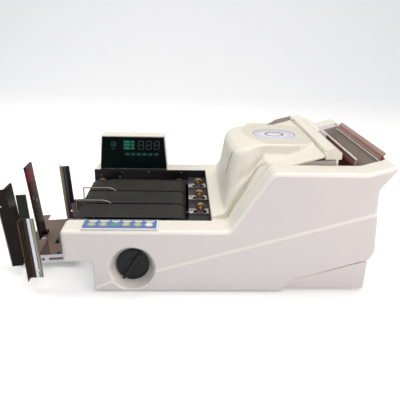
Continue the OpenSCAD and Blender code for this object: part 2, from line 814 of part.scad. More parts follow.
// acrylic stop paddles with feet that slide on the stacker floor
module stop_paddle_far() {
  x = far_foot[0];
  color([0.45, 0.05, 0.07, 0.7]) tilt() {
    lean(far_foot, paddle_turn) box([x - 1.8, x + 1.2], [-13, 17], [14.3, 13.8 + paddle_far_h]);
    box([x - 1, x + 5.5], [5, 16], [foot_z, 17.5]);
  }
}
module stop_paddle_near() {
  x = near_foot[0];
  color([0.10, 0.09, 0.09, 0.8]) tilt() {
    lean(near_foot, paddle_turn) {
      box(around(x, 1.5), [-90, -66], near_paddle_z);
      box([near_flange_x, x + 1.5], [-92.4, -89.9], near_paddle_z);
    }
    box([x - 1, x + 7], [-75.5, -67], [foot_z, 18]);
  }
}
module stop_panel() {
  xs = [-221.9, -208.4];
  color([0.16, 0.19, 0.17, 0.8]) tilt() {
    box(xs, [-37.6, -35], [foot_z, 92]);
    box(xs, [-50, -35], [foot_z, 16]);
  }
}

base_pan();
side_panel_near();
side_panel_far();
rear_panel();
rubber_feet();
frame_plate_near();
frame_plate_far();
tray_floor();
belt_near();
belt_mid();
belt_far();
shaft_bushes();
pinch_bracket_near();
pinch_bracket_mid();
pinch_bracket_far();
pinch_roller_near();
pinch_roller_mid();
pinch_roller_far();
sheet_wire_near();
sheet_wire_far();
display_housing();
display_window();
display_board();
display_leds();
button_plate();
button_1();
button_2();
button_3();
button_4();
button_5();
button_6();
speed_knob();
knob_encoder();
top_cover();
hopper_bridge();
cheek_near();
cheek_far();
hopper_front_plate();
hopper_rear_plate();
hopper_chute();
feed_roller();
separator_roller();
drive_roller();
idler_roller();
exit_roller();
motor();
motor_pulley();
drive_belt();
main_board();
power_supply();
power_inlet();
power_switch();
stacker_floor();
stacker_rail_near();
stacker_rail_far();
stack_post_near();
stack_post_far();
stop_paddle_far();
stop_paddle_near();
stop_panel();
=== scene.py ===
# A desktop machine that feeds sheets from a hopper, over a belt tray, into a tilted stacker.
# The hopper is at the +x end and the stacker at the -x end. "Near" is the -y side, with the
# speed knob and the keys; "far" is +y, with the display on the tray wall. Z is up.
# Shapes are drawn in millimetres in the outline's own x, which MID shifts to the frame's x.
import json
import math

import bmesh
import bpy
import numpy as np
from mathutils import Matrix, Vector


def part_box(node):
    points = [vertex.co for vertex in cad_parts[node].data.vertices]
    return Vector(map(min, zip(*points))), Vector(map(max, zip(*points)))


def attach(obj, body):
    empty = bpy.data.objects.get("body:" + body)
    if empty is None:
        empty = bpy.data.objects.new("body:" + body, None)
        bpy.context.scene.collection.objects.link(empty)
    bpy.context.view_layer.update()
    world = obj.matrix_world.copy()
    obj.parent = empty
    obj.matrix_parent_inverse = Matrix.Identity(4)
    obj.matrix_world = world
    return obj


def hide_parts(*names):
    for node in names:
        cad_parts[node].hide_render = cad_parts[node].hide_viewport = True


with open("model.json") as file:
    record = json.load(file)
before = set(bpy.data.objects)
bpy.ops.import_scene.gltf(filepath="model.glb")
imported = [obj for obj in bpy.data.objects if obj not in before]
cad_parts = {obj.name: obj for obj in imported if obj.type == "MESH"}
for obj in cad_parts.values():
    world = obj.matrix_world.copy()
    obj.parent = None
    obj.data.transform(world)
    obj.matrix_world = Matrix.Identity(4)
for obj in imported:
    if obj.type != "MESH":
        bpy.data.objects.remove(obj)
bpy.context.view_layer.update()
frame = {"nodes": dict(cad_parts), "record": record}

import openvdb
from mathutils import Matrix, Vector
from mathutils.bvhtree import BVHTree

SCENE = bpy.context.scene

# ------------------------------------------------------------------ driving sizes, mm
MID = -144.0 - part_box("side_panel_near")[0].x * 1000.0   # outline x of the frame's x = 0
HALF_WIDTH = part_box("side_panel_near")[0].y * -1000.0    # over the swollen lower flanks
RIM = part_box("display_housing")[0].z * 1000.0            # height of the tray rim
SIDE_FACE = HALF_WIDTH - 2.0                             # upper face of a side panel
WALL_INNER = 106.0                                       # inner face of a side panel
KNOB_X, KNOB_Z = -60.0, 32.0
KNOB_BASE = HALF_WIDTH - 15.4
STACK_PIVOT, STACK_TILT = (-142, 40), 4                  # x and z of the pivot; degrees

BODY_OF = {part: body for body, parts in frame["record"]["behaviour"]["bodies"].items()
           for part in parts}


def to_frame(x, y, z):
    """outline millimetres to frame metres"""
    return ((x - MID) / 1000.0, y / 1000.0, z / 1000.0)


def reach(direction, point):
    """how far an outline point lies along a direction from the frame's origin, mm"""
    return (point[0] - MID) * direction[0] + point[1] * direction[1] + point[2] * direction[2]


# ------------------------------------------------------------------ shader helpers
def node(tree, kind, inputs=None, **settings):
    """a shader node; an input is either a value or the socket that feeds it"""
    made = tree.nodes.new("ShaderNode" + kind)
    for key, value in settings.items():
        setattr(made, key, value)
    for key, value in (inputs or {}).items():
        if isinstance(value, bpy.types.NodeSocket):
            tree.links.new(value, made.inputs[key])
        else:
            made.inputs[key].default_value = value
    return made


def noise(tree, vector, scale, detail, roughness=0.5):
    inputs = {"Vector": vector, "Scale": scale, "Detail": detail, "Roughness": roughness}
    return node(tree, "TexNoise", inputs).outputs[0]


def map_range(tree, value, start, end, low=0.0, high=1.0, kind="LINEAR"):
    inputs = {0: value, 1: start, 2: end, 3: low, 4: high}
    return node(tree, "MapRange", inputs, interpolation_type=kind).outputs[0]


def calc(tree, operation, *values):
    return node(tree, "Math", dict(enumerate(values)), operation=operation).outputs[0]


def mm_along(tree, vector, direction):
    scaled = tuple(c * 1000 for c in direction)
    dot = node(tree, "VectorMath", {0: vector, 1: scaled}, operation="DOT_PRODUCT")
    return dot.outputs["Value"]


def mix_colours(tree, factor, first, second, blend="MIX"):
    first, second = ((*c, 1) if isinstance(c, tuple) else c for c in (first, second))
    inputs = {0: factor, 6: first, 7: second}
    return node(tree, "Mix", inputs, data_type="RGBA", blend_type=blend).outputs[2]


def principled(mat):
    return mat.node_tree.nodes[mat["bsdf"]]


def recolour(mat, factor, colour, blend="MIX"):
    """mix one more colour over a material's base colour"""
    tree = mat.node_tree
    base = principled(mat).inputs["Base Color"]
    tree.links.new(mix_colours(tree, factor, base.links[0].from_socket, colour, blend), base)


FINISH = {}     # every material, by its name


def material(name, colour, colour2=None, rough=0.45, rough_var=0.08, metal=0.0, spec=0.5,
             grain=1400.0, bump=0.25, bump_mm=0.03, patch=14.0, mix=0.5, stretch=(1, 1, 1),
             coat=0.0, trans=0.0, emit=0.0, edge=0.0, edge_highlight_colour=None, crease_shade=0.0):
    """plastic, metal or acrylic with grain, patchy tone, a painted highlight on outer edges and
    painted shade in creases

    grain and patch are the scales of the fine and the broad noise; bump is the strength of
    the grain and bump_mm its depth; mix, edge and the last share are the shares of the patchy
    tone, of the painted highlight on outer edges and of the painted shade in creases.
    """
    mat = bpy.data.materials.new(name)
    mat.use_nodes = True
    tree = mat.node_tree
    tree.nodes.clear()
    output = node(tree, "OutputMaterial")
    bsdf = node(tree, "BsdfPrincipled", {
        "Metallic": metal, "Specular IOR Level": spec, "IOR": 1.49,
        "Transmission Weight": trans, "Coat Weight": coat, "Coat Roughness": 0.1})
    tree.links.new(bsdf.outputs[0], output.inputs[0])
    coords = node(tree, "TexCoord").outputs["Object"]
    coords = node(tree, "Mapping", {0: coords, "Scale": stretch}).outputs[0]

    patches = noise(tree, coords, scale=patch, detail=4.0, roughness=0.6)
    share = calc(tree, "MULTIPLY", map_range(tree, patches, 0.3, 0.7), mix)
    shade = mix_colours(tree, share, colour, colour2 or tuple(c * 0.9 for c in colour))
    # pointiness is above 0.5 on outer edges and below it in corners; outer edges get a painted
    # highlight
    if edge:
        point = node(tree, "NewGeometry").outputs["Pointiness"]
        pale = edge_highlight_colour or tuple(min(1, c * 1.25 + 0.02) for c in colour)
        shade = mix_colours(tree, map_range(tree, point, 0.52, 0.62, high=edge), shade, pale)
    # painted shade: corners and creases, where pointiness is low, are darkened as if shaded
    if crease_shade:
        point = node(tree, "NewGeometry").outputs["Pointiness"]
        crease_shade_colour = tuple(c * 0.55 for c in colour)
        shade = mix_colours(tree, map_range(tree, point, 0.49, 0.42, high=crease_shade), shade, crease_shade_colour)
    tree.links.new(shade, bsdf.inputs["Base Color"])

    # roughness follows the mean of both noises
    fine = noise(tree, coords, scale=grain, detail=3.0, roughness=0.55)
    mean = node(tree, "Math", operation="ADD")
    for i, source in enumerate((patches, fine)):
        tree.links.new(calc(tree, "MULTIPLY", source, 0.5), mean.inputs[i])
    tree.links.new(map_range(tree, mean.outputs[0], 0.25, 0.75, low=max(0.02, rough - rough_var),
                             high=min(1, rough + rough_var)), bsdf.inputs["Roughness"])
    if bump:
        relief = node(tree, "Bump", {"Height": fine, "Strength": bump,
                                     "Distance": bump_mm / 1000.0})
        tree.links.new(relief.outputs[0], bsdf.inputs["Normal"])
    if emit:
        tree.links.new(shade, bsdf.inputs["Emission Color"])
        bsdf.inputs["Emission Strength"].default_value = emit
    mat["bsdf"] = bsdf.name
    FINISH[name] = mat
    return mat


def weave(mat, thread_mm=0.9):
    """coarse cloth: crossing threads from two wave patterns"""
    tree = mat.node_tree
    coords = node(tree, "TexCoord").outputs["Object"]
    waves = []
    for axis in "XY":
        wave = node(tree, "TexWave", {
            "Scale": 160.0 / thread_mm,      # half a wave is about one thread wide
            "Distortion": 1.3, "Detail": 1.0, "Detail Scale": 2.0, "Vector": coords},
            wave_type="BANDS", bands_direction=axis)
        waves.append(wave.outputs["Fac"])
    threads = calc(tree, "MAXIMUM", *waves)
    relief = node(tree, "Bump", {"Height": threads, "Strength": 0.6, "Distance": 0.00012})
    tree.links.new(relief.outputs[0], principled(mat).inputs["Normal"])
    recolour(mat, 0.55, threads, "MULTIPLY")


def bands(name, stops, direction, origin, span, wobble=0.02, **finish):
    """material whose tone runs in soft bands along a direction

    stops are (share of the span, colour); span is the run's two ends in mm from origin.
    """
    mat = material(name, (1.0, 1.0, 1.0), (0.86, 0.85, 0.84), **finish)
    tree = mat.node_tree
    coords = node(tree, "TexCoord").outputs["Object"]
    start = reach(direction, origin)
    run = map_range(tree, mm_along(tree, coords, direction), span[0] + start, span[1] + start)
    wander = noise(tree, coords, scale=45.0, detail=2.0)
    ramp = node(tree, "ValToRGB", {0: calc(tree, "MULTIPLY_ADD", wander, wobble * 2, run)})
    elements = ramp.color_ramp.elements
    while len(elements) < len(stops):
        elements.new(0.5)
    for element, (share, colour) in zip(elements, stops):
        element.position = min(1, share + wobble)
        element.color = (*colour, 1)
    recolour(mat, 1.0, ramp.outputs[0], "MULTIPLY")


def paint_light_by_facing(mat, top, rim, lit_top_share, rim_highlight_share):
    """moulding painted warmer where it faces up, as if lit from above, and paler on its rounded
    edges as a painted highlight
    """
    tree = mat.node_tree
    normal = node(tree, "NewGeometry").outputs["Normal"]
    facing = node(tree, "SeparateXYZ", {0: normal}).outputs

    def soft(value, start, end, low=0.0, high=1.0):
        return map_range(tree, value, start, end, low, high, kind="SMOOTHSTEP")

    sideways = calc(tree, "ABSOLUTE", facing[1])
    turning = calc(tree, "MULTIPLY", soft(sideways, 0.16, 0.5),
                   soft(sideways, 0.93, 0.985, low=1.0, high=0.0))
    rim_highlight_mask = calc(tree, "MULTIPLY", turning, soft(facing[2], 0.02, 0.25, high=rim_highlight_share))
    # painted light: up-facing faces take the top colour as if lit from above, rounded edges the
    # pale rim colour as a highlight
    recolour(mat, soft(facing[2], 0.15, 0.55, high=lit_top_share), top)
    recolour(mat, rim_highlight_mask, rim)


def plateau_painted_shade(mat):
    """painted shade: the flat top of the dome, behind its front cap, is darkened and warmed a
    little, so the sloping cap reads as lit
    """
    tree = mat.node_tree
    coords = node(tree, "TexCoord").outputs["Object"]
    inside = None
    # planes that bound the plateau: normal, point on the plane, softness in mm
    for normal, point, soft in (((0.0, 0.0, 1.0), (0, 0, 167.1), 0.25),
                                ((0.987, 0.159, 0.0), (75.7, 42, 0), 1.2),
                                ((0.894, 0.447, 0.0), (85, -16, 0), 1.2)):
        start = reach(normal, point)
        side = map_range(tree, mm_along(tree, coords, normal), start - 0.2, start + soft)
        inside = side if inside is None else calc(tree, "MULTIPLY", inside, side)
    recolour(mat, inside, (0.86, 0.85, 0.83), "MULTIPLY")


# ------------------------------------------------------------------ mouldings, paint and rubber
CREAM = (0.80, 0.765, 0.66)
# painted light on both mouldings: warmer up-facing faces and pale rounded edges stand for light
paint_light_by_facing(
    material("moulded_cream", CREAM, (0.77, 0.745, 0.66), rough=0.42, grain=1600, bump=0.22,
             edge=0.35, edge_highlight_colour=(0.86, 0.84, 0.76), crease_shade=0.25),
    top=CREAM, rim=(0.90, 0.87, 0.78), lit_top_share=0.2, rim_highlight_share=0.6)
paint_light_by_facing(
    material("moulded_shell", (0.74, 0.715, 0.69), (0.70, 0.68, 0.67), rough=0.40, grain=1600,
             bump=0.22, mix=0.6, edge=0.4, edge_highlight_colour=(0.84, 0.82, 0.78), crease_shade=0.25),
    top=(0.80, 0.765, 0.68), rim=(0.93, 0.91, 0.85), lit_top_share=0.8, rim_highlight_share=0.75)
material("satin_black_paint", (0.006, 0.006, 0.0065), (0.011, 0.010, 0.011), spec=0.28,
         rough=0.38, rough_var=0.12, grain=2200, bump=0.35, edge=0.4,
         edge_highlight_colour=(0.06, 0.06, 0.065))
material("foot_rubber", (0.03, 0.03, 0.03), rough=0.75, grain=1800, bump=0.5, bump_mm=0.05)
weave(material("woven_belt", (0.036, 0.036, 0.029), (0.020, 0.016, 0.014), rough=0.62,
               rough_var=0.1, grain=2600, bump=0.0, patch=13, mix=1.0, spec=0.22,
               stretch=(1, 0.6, 1)))
material("knob_black", (0.006, 0.006, 0.007), (0.010, 0.010, 0.012), spec=0.35, rough=0.33,
         rough_var=0.1, grain=1600, bump=0.3, edge=0.25, edge_highlight_colour=(0.05, 0.05, 0.055))
material("ground_rubber", (0.035, 0.033, 0.031), (0.06, 0.056, 0.05), rough=0.6, grain=1600,
         bump=0.4, bump_mm=0.05, patch=60)
material("grey_rubber", (0.22, 0.21, 0.195), rough=0.6, grain=1600, bump=0.4, bump_mm=0.05)
material("motor_paint", (0.07, 0.075, 0.08), rough=0.35, grain=900, bump=0.2)
material("drive_belt_rubber", (0.015, 0.015, 0.015), rough=0.55, grain=2400, bump=0.4)
material("varnished_windings", (0.22, 0.13, 0.06), rough=0.4, grain=900, bump=0.4,
         bump_mm=0.08)
material("black_plastic", (0.014, 0.014, 0.015), rough=0.4, grain=1800, bump=0.3, edge=0.3,
         edge_highlight_colour=(0.06, 0.06, 0.06))
material("brown_plate", (0.150, 0.098, 0.076), (0.185, 0.125, 0.098), rough=0.48, grain=900,
         bump=0.35, bump_mm=0.05, patch=60, edge=0.3)
# painted shade: black for the shade inside the stacker floor's pockets
material("pocket_painted_shade", (0.006, 0.006, 0.006), rough=0.7, grain=1500, bump=0.2, spec=0.1)
material("slot_dark", (0.045, 0.042, 0.04), rough=0.7, grain=1500, bump=0.2)
material("circuit_board", (0.02, 0.13, 0.07), rough=0.35, grain=900, bump=0.2)
bands("taupe_and_grey_moulding",
      [(0.0, (0.27, 0.225, 0.185)), (0.920, (0.23, 0.19, 0.155)), (0.926, (0.60, 0.56, 0.56)),
       (1.0, (0.64, 0.60, 0.60))],
      direction=(0, 1, 0), origin=(0, -102, 0), span=(0, 200), wobble=0.0, rough=0.5,
      grain=1300, bump=0.3, bump_mm=0.04, patch=30)

# ------------------------------------------------------------------ metals
material("bearing_bronze", (0.55, 0.36, 0.15), rough=0.35, metal=1.0, grain=900, bump=0.2)
material("nickel_plate", (0.76, 0.73, 0.68), (0.60, 0.56, 0.50), rough=0.17, metal=1.0,
         grain=700, bump=0.12, bump_mm=0.02, patch=90)
material("race_brass", (0.71, 0.49, 0.20), (0.52, 0.34, 0.14), rough=0.24, metal=1.0,
         grain=1200, bump=0.15, bump_mm=0.02, patch=160)
material("sprung_wire", (0.34, 0.30, 0.27), (0.50, 0.46, 0.42), rough=0.2, metal=1.0,
         grain=900, bump=0.1, patch=60)
material("zinc_plated_rail", (0.50, 0.50, 0.54), (0.66, 0.65, 0.70), rough=0.24,
         rough_var=0.1, metal=0.85, grain=900, bump=0.12, bump_mm=0.02, patch=26,
         stretch=(0.4, 1, 1))
material("turned_steel", (0.52, 0.52, 0.53), (0.42, 0.42, 0.43), rough=0.3, metal=1.0,
         grain=900, bump=0.2, stretch=(1, 0.08, 1))
material("brushed_aluminium", (0.55, 0.56, 0.58), rough=0.32, metal=1.0, grain=1000, bump=0.2,
         stretch=(1, 1, 0.1))
material("blackened_screw", (0.10, 0.10, 0.105), (0.16, 0.15, 0.15), rough=0.32, metal=0.9,
         grain=1500, bump=0.2)
# the posts' bands are painted reflections and highlights on the chrome; they run across the tilted
# stacker, measured from its pivot
POST_BANDS = dict(
    direction=(math.cos(math.radians(STACK_TILT)), 0.0, math.sin(math.radians(STACK_TILT))),
    origin=(STACK_PIVOT[0], 0, STACK_PIVOT[1]), rough=0.22, grain=500, bump=0.06,
    bump_mm=0.02, patch=30)
bands("chrome_post_painted_reflections_near",
      [(0.0, (0.10, 0.075, 0.055)), (0.30, (0.055, 0.04, 0.032)), (0.50, (0.035, 0.028, 0.024)),
       (0.56, (0.90, 0.90, 0.98)), (0.70, (0.72, 0.72, 0.86)), (0.76, (0.12, 0.13, 0.10)),
       (0.85, (0.40, 0.41, 0.28)), (1.0, (0.16, 0.17, 0.11))],
      span=(-45.5, -29.0), wobble=0.03, metal=0.75, **POST_BANDS)
bands("chrome_post_painted_reflections_far",
      [(0.0, (0.70, 0.66, 0.47)), (0.20, (0.52, 0.49, 0.33)), (0.32, (0.20, 0.18, 0.13)),
       (0.40, (0.05, 0.045, 0.04)), (0.50, (0.20, 0.22, 0.30)), (0.60, (0.07, 0.07, 0.10)),
       (0.70, (0.02, 0.02, 0.024)), (0.9, (0.03, 0.028, 0.03))],
      span=(-43.5, -28.2), wobble=0.05, metal=0.6, **POST_BANDS)

# ------------------------------------------------------------------ display, keys, round plate
material("smoked_window", (0.003, 0.005, 0.006), (0.003, 0.012, 0.010), rough=0.10,
         rough_var=0.03, grain=700, bump=0.03, bump_mm=0.01, spec=0.05, patch=24, mix=0.8)
material("window_edge_green", (0.003, 0.020, 0.014), (0.002, 0.012, 0.009), rough=0.3,
         grain=1500, bump=0.1, emit=0.03)
material("lamp_green", (0.004, 0.11, 0.065), (0.003, 0.07, 0.045), rough=0.3, grain=3000,
         bump=0.2, emit=0.5, patch=300)
material("lamp_dim", (0.006, 0.048, 0.035), (0.005, 0.034, 0.028), rough=0.3, grain=3000,
         bump=0.2, emit=0.3, patch=300)
material("segment_dim", (0.040, 0.056, 0.050), (0.03, 0.044, 0.040), rough=0.35, grain=3000,
         bump=0.1, emit=0.05)
material("film_blue", (0.085, 0.17, 0.42), (0.07, 0.14, 0.36), rough=0.3, grain=2600,
         bump=0.15, patch=40, coat=0.2)
material("film_white", (0.80, 0.80, 0.80), rough=0.35, grain=2200, bump=0.15)
material("label_bar", (0.80, 0.70, 0.42), (0.84, 0.82, 0.70), rough=0.4, grain=2600, bump=0.1,
         patch=260, mix=0.9)
KEY_GLOSS = dict(rough=0.22, grain=2000, bump=0.08, coat=0.4)
material("key_lime", (0.46, 0.52, 0.28), (0.34, 0.46, 0.28), patch=200, **KEY_GLOSS)
material("key_teal", (0.09, 0.34, 0.28), **KEY_GLOSS)
material("key_white", (0.84, 0.84, 0.80), **KEY_GLOSS)
material("key_rim_grey", (0.34, 0.42, 0.52), (0.42, 0.50, 0.56), rough=0.3, grain=1500,
         bump=0.1)
material("badge_white", (0.80, 0.79, 0.78), (0.76, 0.76, 0.77), rough=0.25, grain=1500,
         bump=0.08, coat=0.3)
material("badge_ring_slate", (0.12, 0.13, 0.34), (0.16, 0.17, 0.38), rough=0.3, grain=1500,
         bump=0.08)
material("badge_ring_pale", (0.60, 0.62, 0.74), (0.66, 0.62, 0.68), rough=0.3, grain=1500,
         bump=0.08)

# ------------------------------------------------------------------ acrylics
bands("red_acrylic",
      [(0.0, (0.016, 0.008, 0.007)), (0.30, (0.026, 0.008, 0.007)), (0.62, (0.045, 0.004, 0.006)),
       (0.74, (0.075, 0.003, 0.006)), (0.80, (0.24, 0.003, 0.016)), (0.88, (0.18, 0.003, 0.012)),
       (0.93, (0.022, 0.003, 0.005))],
      direction=(0, 0, 1), origin=(0, 0, 14), span=(0, 109), spec=0.08, rough=0.18,
      rough_var=0.04, grain=600, bump=0.04, bump_mm=0.02, patch=26, mix=0.8)
material("smoked_acrylic", (0.018, 0.014, 0.014), (0.026, 0.017, 0.016), spec=0.09, rough=0.18,
         rough_var=0.04, grain=600, bump=0.04, bump_mm=0.02, trans=0.05, patch=30, mix=0.8)
material("smoked_green_acrylic", (0.026, 0.031, 0.028), (0.019, 0.024, 0.022), spec=0.16,
         rough=0.18, grain=600, bump=0.05, trans=0.05, patch=30, mix=0.8)
PLATE_GLOSS = dict(rough_var=0.05, grain=500, bump=0.05, trans=0.15, coat=0.3, patch=22, mix=0.9)
# painted highlight: the pale top stop stands for light caught on the plate's edge
bands("tinted_front_plate",
      [(0.0, (0.30, 0.16, 0.13)), (0.55, (0.36, 0.18, 0.15)), (0.80, (0.20, 0.045, 0.04)),
       (0.90, (0.50, 0.26, 0.22)), (0.955, (0.30, 0.10, 0.09)), (0.985, (0.90, 0.86, 0.80))],
      direction=(0, 0, 1), origin=(0, 0, 104), span=(0, 57), wobble=0.004, rough=0.14,
      **PLATE_GLOSS)
bands("tinted_rear_plate",
      [(0.0, (0.92, 0.89, 0.84)), (0.14, (0.88, 0.84, 0.78)), (0.20, (0.26, 0.12, 0.09)),
       (0.40, (0.42, 0.20, 0.15)), (0.52, (0.20, 0.045, 0.035)), (0.66, (0.50, 0.29, 0.23)),
       (0.90, (0.56, 0.38, 0.31)), (1.0, (0.12, 0.08, 0.07))],
      direction=(0.583, 0, 0.812), origin=(236.5, 0, 157.0), span=(0, 14.5), wobble=0.03,
      rough=0.16, **PLATE_GLOSS)
bands("cheek_acrylic",
      [(0.0, (0.50, 0.48, 0.43)), (0.50, (0.46, 0.44, 0.40)), (0.62, (0.42, 0.38, 0.35)),
       (0.66, (0.075, 0.018, 0.022)), (1.0, (0.05, 0.014, 0.018))],
      direction=(-0.05, 0, 1), origin=(171, 0, 150), span=(0, 14), spec=0.3, rough=0.2,
      grain=500, bump=0.05, coat=0.1, patch=30)
material("cheek_grey", (0.34, 0.32, 0.29), (0.26, 0.24, 0.22), rough=0.22, grain=500,
         bump=0.05, coat=0.2, patch=60)
# the two edge finishes below are painted highlights for light caught on acrylic edges
material("acrylic_edge_painted_highlight", (0.72, 0.70, 0.72), (0.60, 0.52, 0.54), rough=0.2,
         grain=900, bump=0.1, coat=0.4, patch=60)
material("smoked_edge_painted_highlight", (0.30, 0.28, 0.29), (0.16, 0.14, 0.14), rough=0.25, grain=900,
         bump=0.1, coat=0.3, patch=60)


# ------------------------------------------------------------------ object helpers
def link_mesh(name, mesh, mat):
    mesh.materials.append(mat)
    obj = bpy.data.objects.new(name, mesh)
    SCENE.collection.objects.link(obj)
    return obj


def ride(obj, body):
    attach(obj, body)
    return obj


def stand_in(obj, part):
    """give a built shell the body of the CAD piece it replaces, and hide that piece"""
    ride(obj, BODY_OF[part])
    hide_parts(part)
    return obj


def fillet(corners, steps=7):
    """[(x, z, radius)] to a polygon with rounded corners"""
    out = []
    count = len(corners)
    for i in range(count):
        corner = Vector(corners[i][:2])
        back = Vector(corners[i - 1][:2]) - corner
        ahead = Vector(corners[(i + 1) % count][:2]) - corner
        radius = corners[i][2]
        back_len, ahead_len = back.length, ahead.length
        if radius <= 0 or back_len < 1e-6 or ahead_len < 1e-6:
            out.append(tuple(corner))
            continue
        back.normalize()
        ahead.normalize()
        angle = math.acos(max(-1, min(1, back.dot(ahead))))
        if angle > 3.1:     # nearly straight
            out.append(tuple(corner))
            continue
        cut = min(radius / math.tan(angle / 2), 0.48 * back_len, 0.48 * ahead_len)
        radius = cut * math.tan(angle / 2)
        first, last = corner + back * cut, corner + ahead * cut
        centre = corner + (back + ahead).normalized() * (radius / math.sin(angle / 2))
        start = math.atan2(first.y - centre.y, first.x - centre.x)
        end = math.atan2(last.y - centre.y, last.x - centre.x)
        sweep = (end - start + math.pi) % (2 * math.pi) - math.pi
        for j in range(steps + 1):
            q = start + sweep * j / steps
            out.append((centre.x + radius * math.cos(q), centre.y + radius * math.sin(q)))
    return out


# ------------------------------------------------------------------ distance fields
def polygon_distance(px, py, points):
    """signed distance to a polygon, negative inside"""
    squared = np.full(np.broadcast(px, py).shape, 1e12)
    sign = np.ones_like(squared)
    for i, (xi, yi) in enumerate(points):
        xj, yj = points[i - 1]
        ex, ey = xj - xi, yj - yi
        wx, wy = px - xi, py - yi
        t = np.clip((wx * ex + wy * ey) / max(ex * ex + ey * ey, 1e-12), 0, 1)
        bx, by = wx - ex * t, wy - ey * t
        squared = np.minimum(squared, bx * bx + by * by)
        above, below, side = py >= yi, py < yj, ex * wy > ey * wx
        crossed = (above & below & side) | (~above & ~below & ~side)
        sign = np.where(crossed, -sign, sign)
    return sign * np.sqrt(squared)


def round_max(a, b, r):
    """intersection of two fields with edges rounded to r"""
    u, v = np.maximum(a + r, 0), np.maximum(b + r, 0)
    return np.minimum(np.maximum(a, b), -r) + np.sqrt(u * u + v * v)


def round_min(a, b, r):
    """union of two fields with a fillet of r"""
    return -round_max(-a, -b, r)


def smooth_step(t):
    t = np.clip(t, 0, 1)
    return t * t * (3 - 2 * t)


def pull_to_surface(points, values, voxel):
    """one step of grid points towards the field's zero surface"""
    cell = np.clip(np.floor(points).astype(int), 1, np.array(values.shape) - 3)
    part = np.clip(points - cell, 0, 1)

    def sample(offset):
        total = 0
        for corner in np.ndindex(2, 2, 2):
            weight = np.prod(np.where(corner, part, 1 - part), axis=1)
            total = total + weight * values[tuple((cell + offset + corner).T)]
        return total

    distance = sample(np.zeros(3, int))
    slopes = [sample(e) - sample(-e) for e in np.eye(3, dtype=int)]
    gradient = np.stack(slopes, 1) / (2 * voxel)
    steep = np.maximum((gradient ** 2).sum(1), 0.05)
    step = (distance / steep)[:, None] * gradient / voxel
    return points - np.clip(step, -0.45, 0.45)


def signed_volume(mesh):
    co = np.zeros(len(mesh.vertices) * 3)
    mesh.vertices.foreach_get("co", co)
    co = co.reshape(-1, 3)
    mesh.calc_loop_triangles()
    tri = np.zeros(len(mesh.loop_triangles) * 3, np.int32)
    mesh.loop_triangles.foreach_get("vertices", tri)
    tri = tri.reshape(-1, 3)
    return np.einsum("ij,ij->i", co[tri[:, 0]], np.cross(co[tri[:, 1]], co[tri[:, 2]])).sum()


class Grid:
    """sample points for a distance field, in outline mm"""

    def __init__(self, low, high, voxel):
        self.low, self.voxel = np.array(low, float), voxel
        x, y, z = (a + voxel * np.arange(int(math.ceil((b - a) / voxel)) + 1)
                   for a, b in zip(low, high))
        self.x = x.reshape(-1, 1, 1)
        self.y = y.reshape(1, -1, 1)
        self.z = z.reshape(1, 1, -1)

    def poly_xz(self, points):
        return polygon_distance(self.x[:, 0, :], self.z[0], points)[:, None, :]

    def box(self, x0, x1, y0, y1, z0, z1):
        return np.maximum(np.maximum(np.maximum(x0 - self.x, self.x - x1),
                                     np.maximum(y0 - self.y, self.y - y1)),
                          np.maximum(z0 - self.z, self.z - z1))

    def mesh(self, name, field, finish, flip_y=False):
        """the field's zero surface as an object; flip_y mirrors it to the near side"""
        reach_mm = 5 * self.voxel
        values = np.ascontiguousarray(np.clip(field, -reach_mm, reach_mm).astype(np.float32))
        volume = openvdb.FloatGrid(reach_mm)
        volume.copyFromArray(values)
        points, tris, quads = volume.convertToPolygons(0.0, 0.0)
        points = np.array(points, float)
        for _ in range(2):
            points = pull_to_surface(points, values, self.voxel)
        points = points * self.voxel + self.low
        quads = np.array(quads, np.int32).reshape(-1, 4)
        tris = np.array(tris, np.int32).reshape(-1, 3)
        if flip_y:
            points[:, 1] *= -1
            quads, tris = quads[:, ::-1], tris[:, ::-1]
        points[:, 0] -= MID
        points /= 1000.0

        mesh = bpy.data.meshes.new(name)
        mesh.vertices.add(len(points))
        mesh.vertices.foreach_set("co", points.astype(np.float32).ravel())
        loops = np.concatenate([quads.ravel(), tris.ravel()])
        mesh.loops.add(len(loops))
        mesh.loops.foreach_set("vertex_index", loops)
        faces = len(quads) + len(tris)
        mesh.polygons.add(faces)
        starts = np.concatenate([np.arange(len(quads)) * 4,
                                 len(quads) * 4 + np.arange(len(tris)) * 3])
        mesh.polygons.foreach_set("loop_start", starts.astype(np.int32))
        mesh.polygons.foreach_set("use_smooth", np.ones(faces, bool))
        mesh.update(calc_edges=True)
        mesh.validate()
        if signed_volume(mesh) < 0:
            mesh.flip_normals()
        return link_mesh(name, mesh, FINISH[finish])


# ------------------------------------------------------------------ housing side panels
# side-view outlines: x, z, corner radius
PANEL = [
    (-142, 40, 2.5), (-144, 81, 5.5), (56, RIM, 9), (103.7, 154, 9), (213.7, 154, 16),
    (245.3, 163, 4), (247.3, 157.4, 3), (229.2, 133, 9), (230, 110, 0), (233.6, 56, 7),
    (228, 45, 6), (135, 18, 14), (122, 2.4, 4), (-106, 2.4, 1.6), (-107.4, 40, 6.5)]
# the hollow between the panel's two skins
HOLLOW = [
    (-139, 43, 0), (-141, 78, 3), (57.6, 78, 3), (105.3, 151, 3), (213.7, 151, 3),
    (241.1, 159.4, 0), (242.5, 155.9, 0), (226.2, 133, 3), (227, 110, 0), (230.6, 56, 3),
    (225, 48, 3), (133.5, 21, 3), (118.5, -5, 0), (-103, -5, 0), (-104, 33, 0), (-105.3, 43, 0)]
# the opening through the inner skin: x, z
OPENING = [
    (-129, 53), (-131, 68), (63.15, 68), (110.85, 141), (213.7, 141), (227.1, 147.4),
    (226.5, 140.5), (216.2, 133), (217, 110), (220.6, 56), (215, 58), (128.5, 31),
    (113.5, -5), (-93, -5), (-94, 53)]
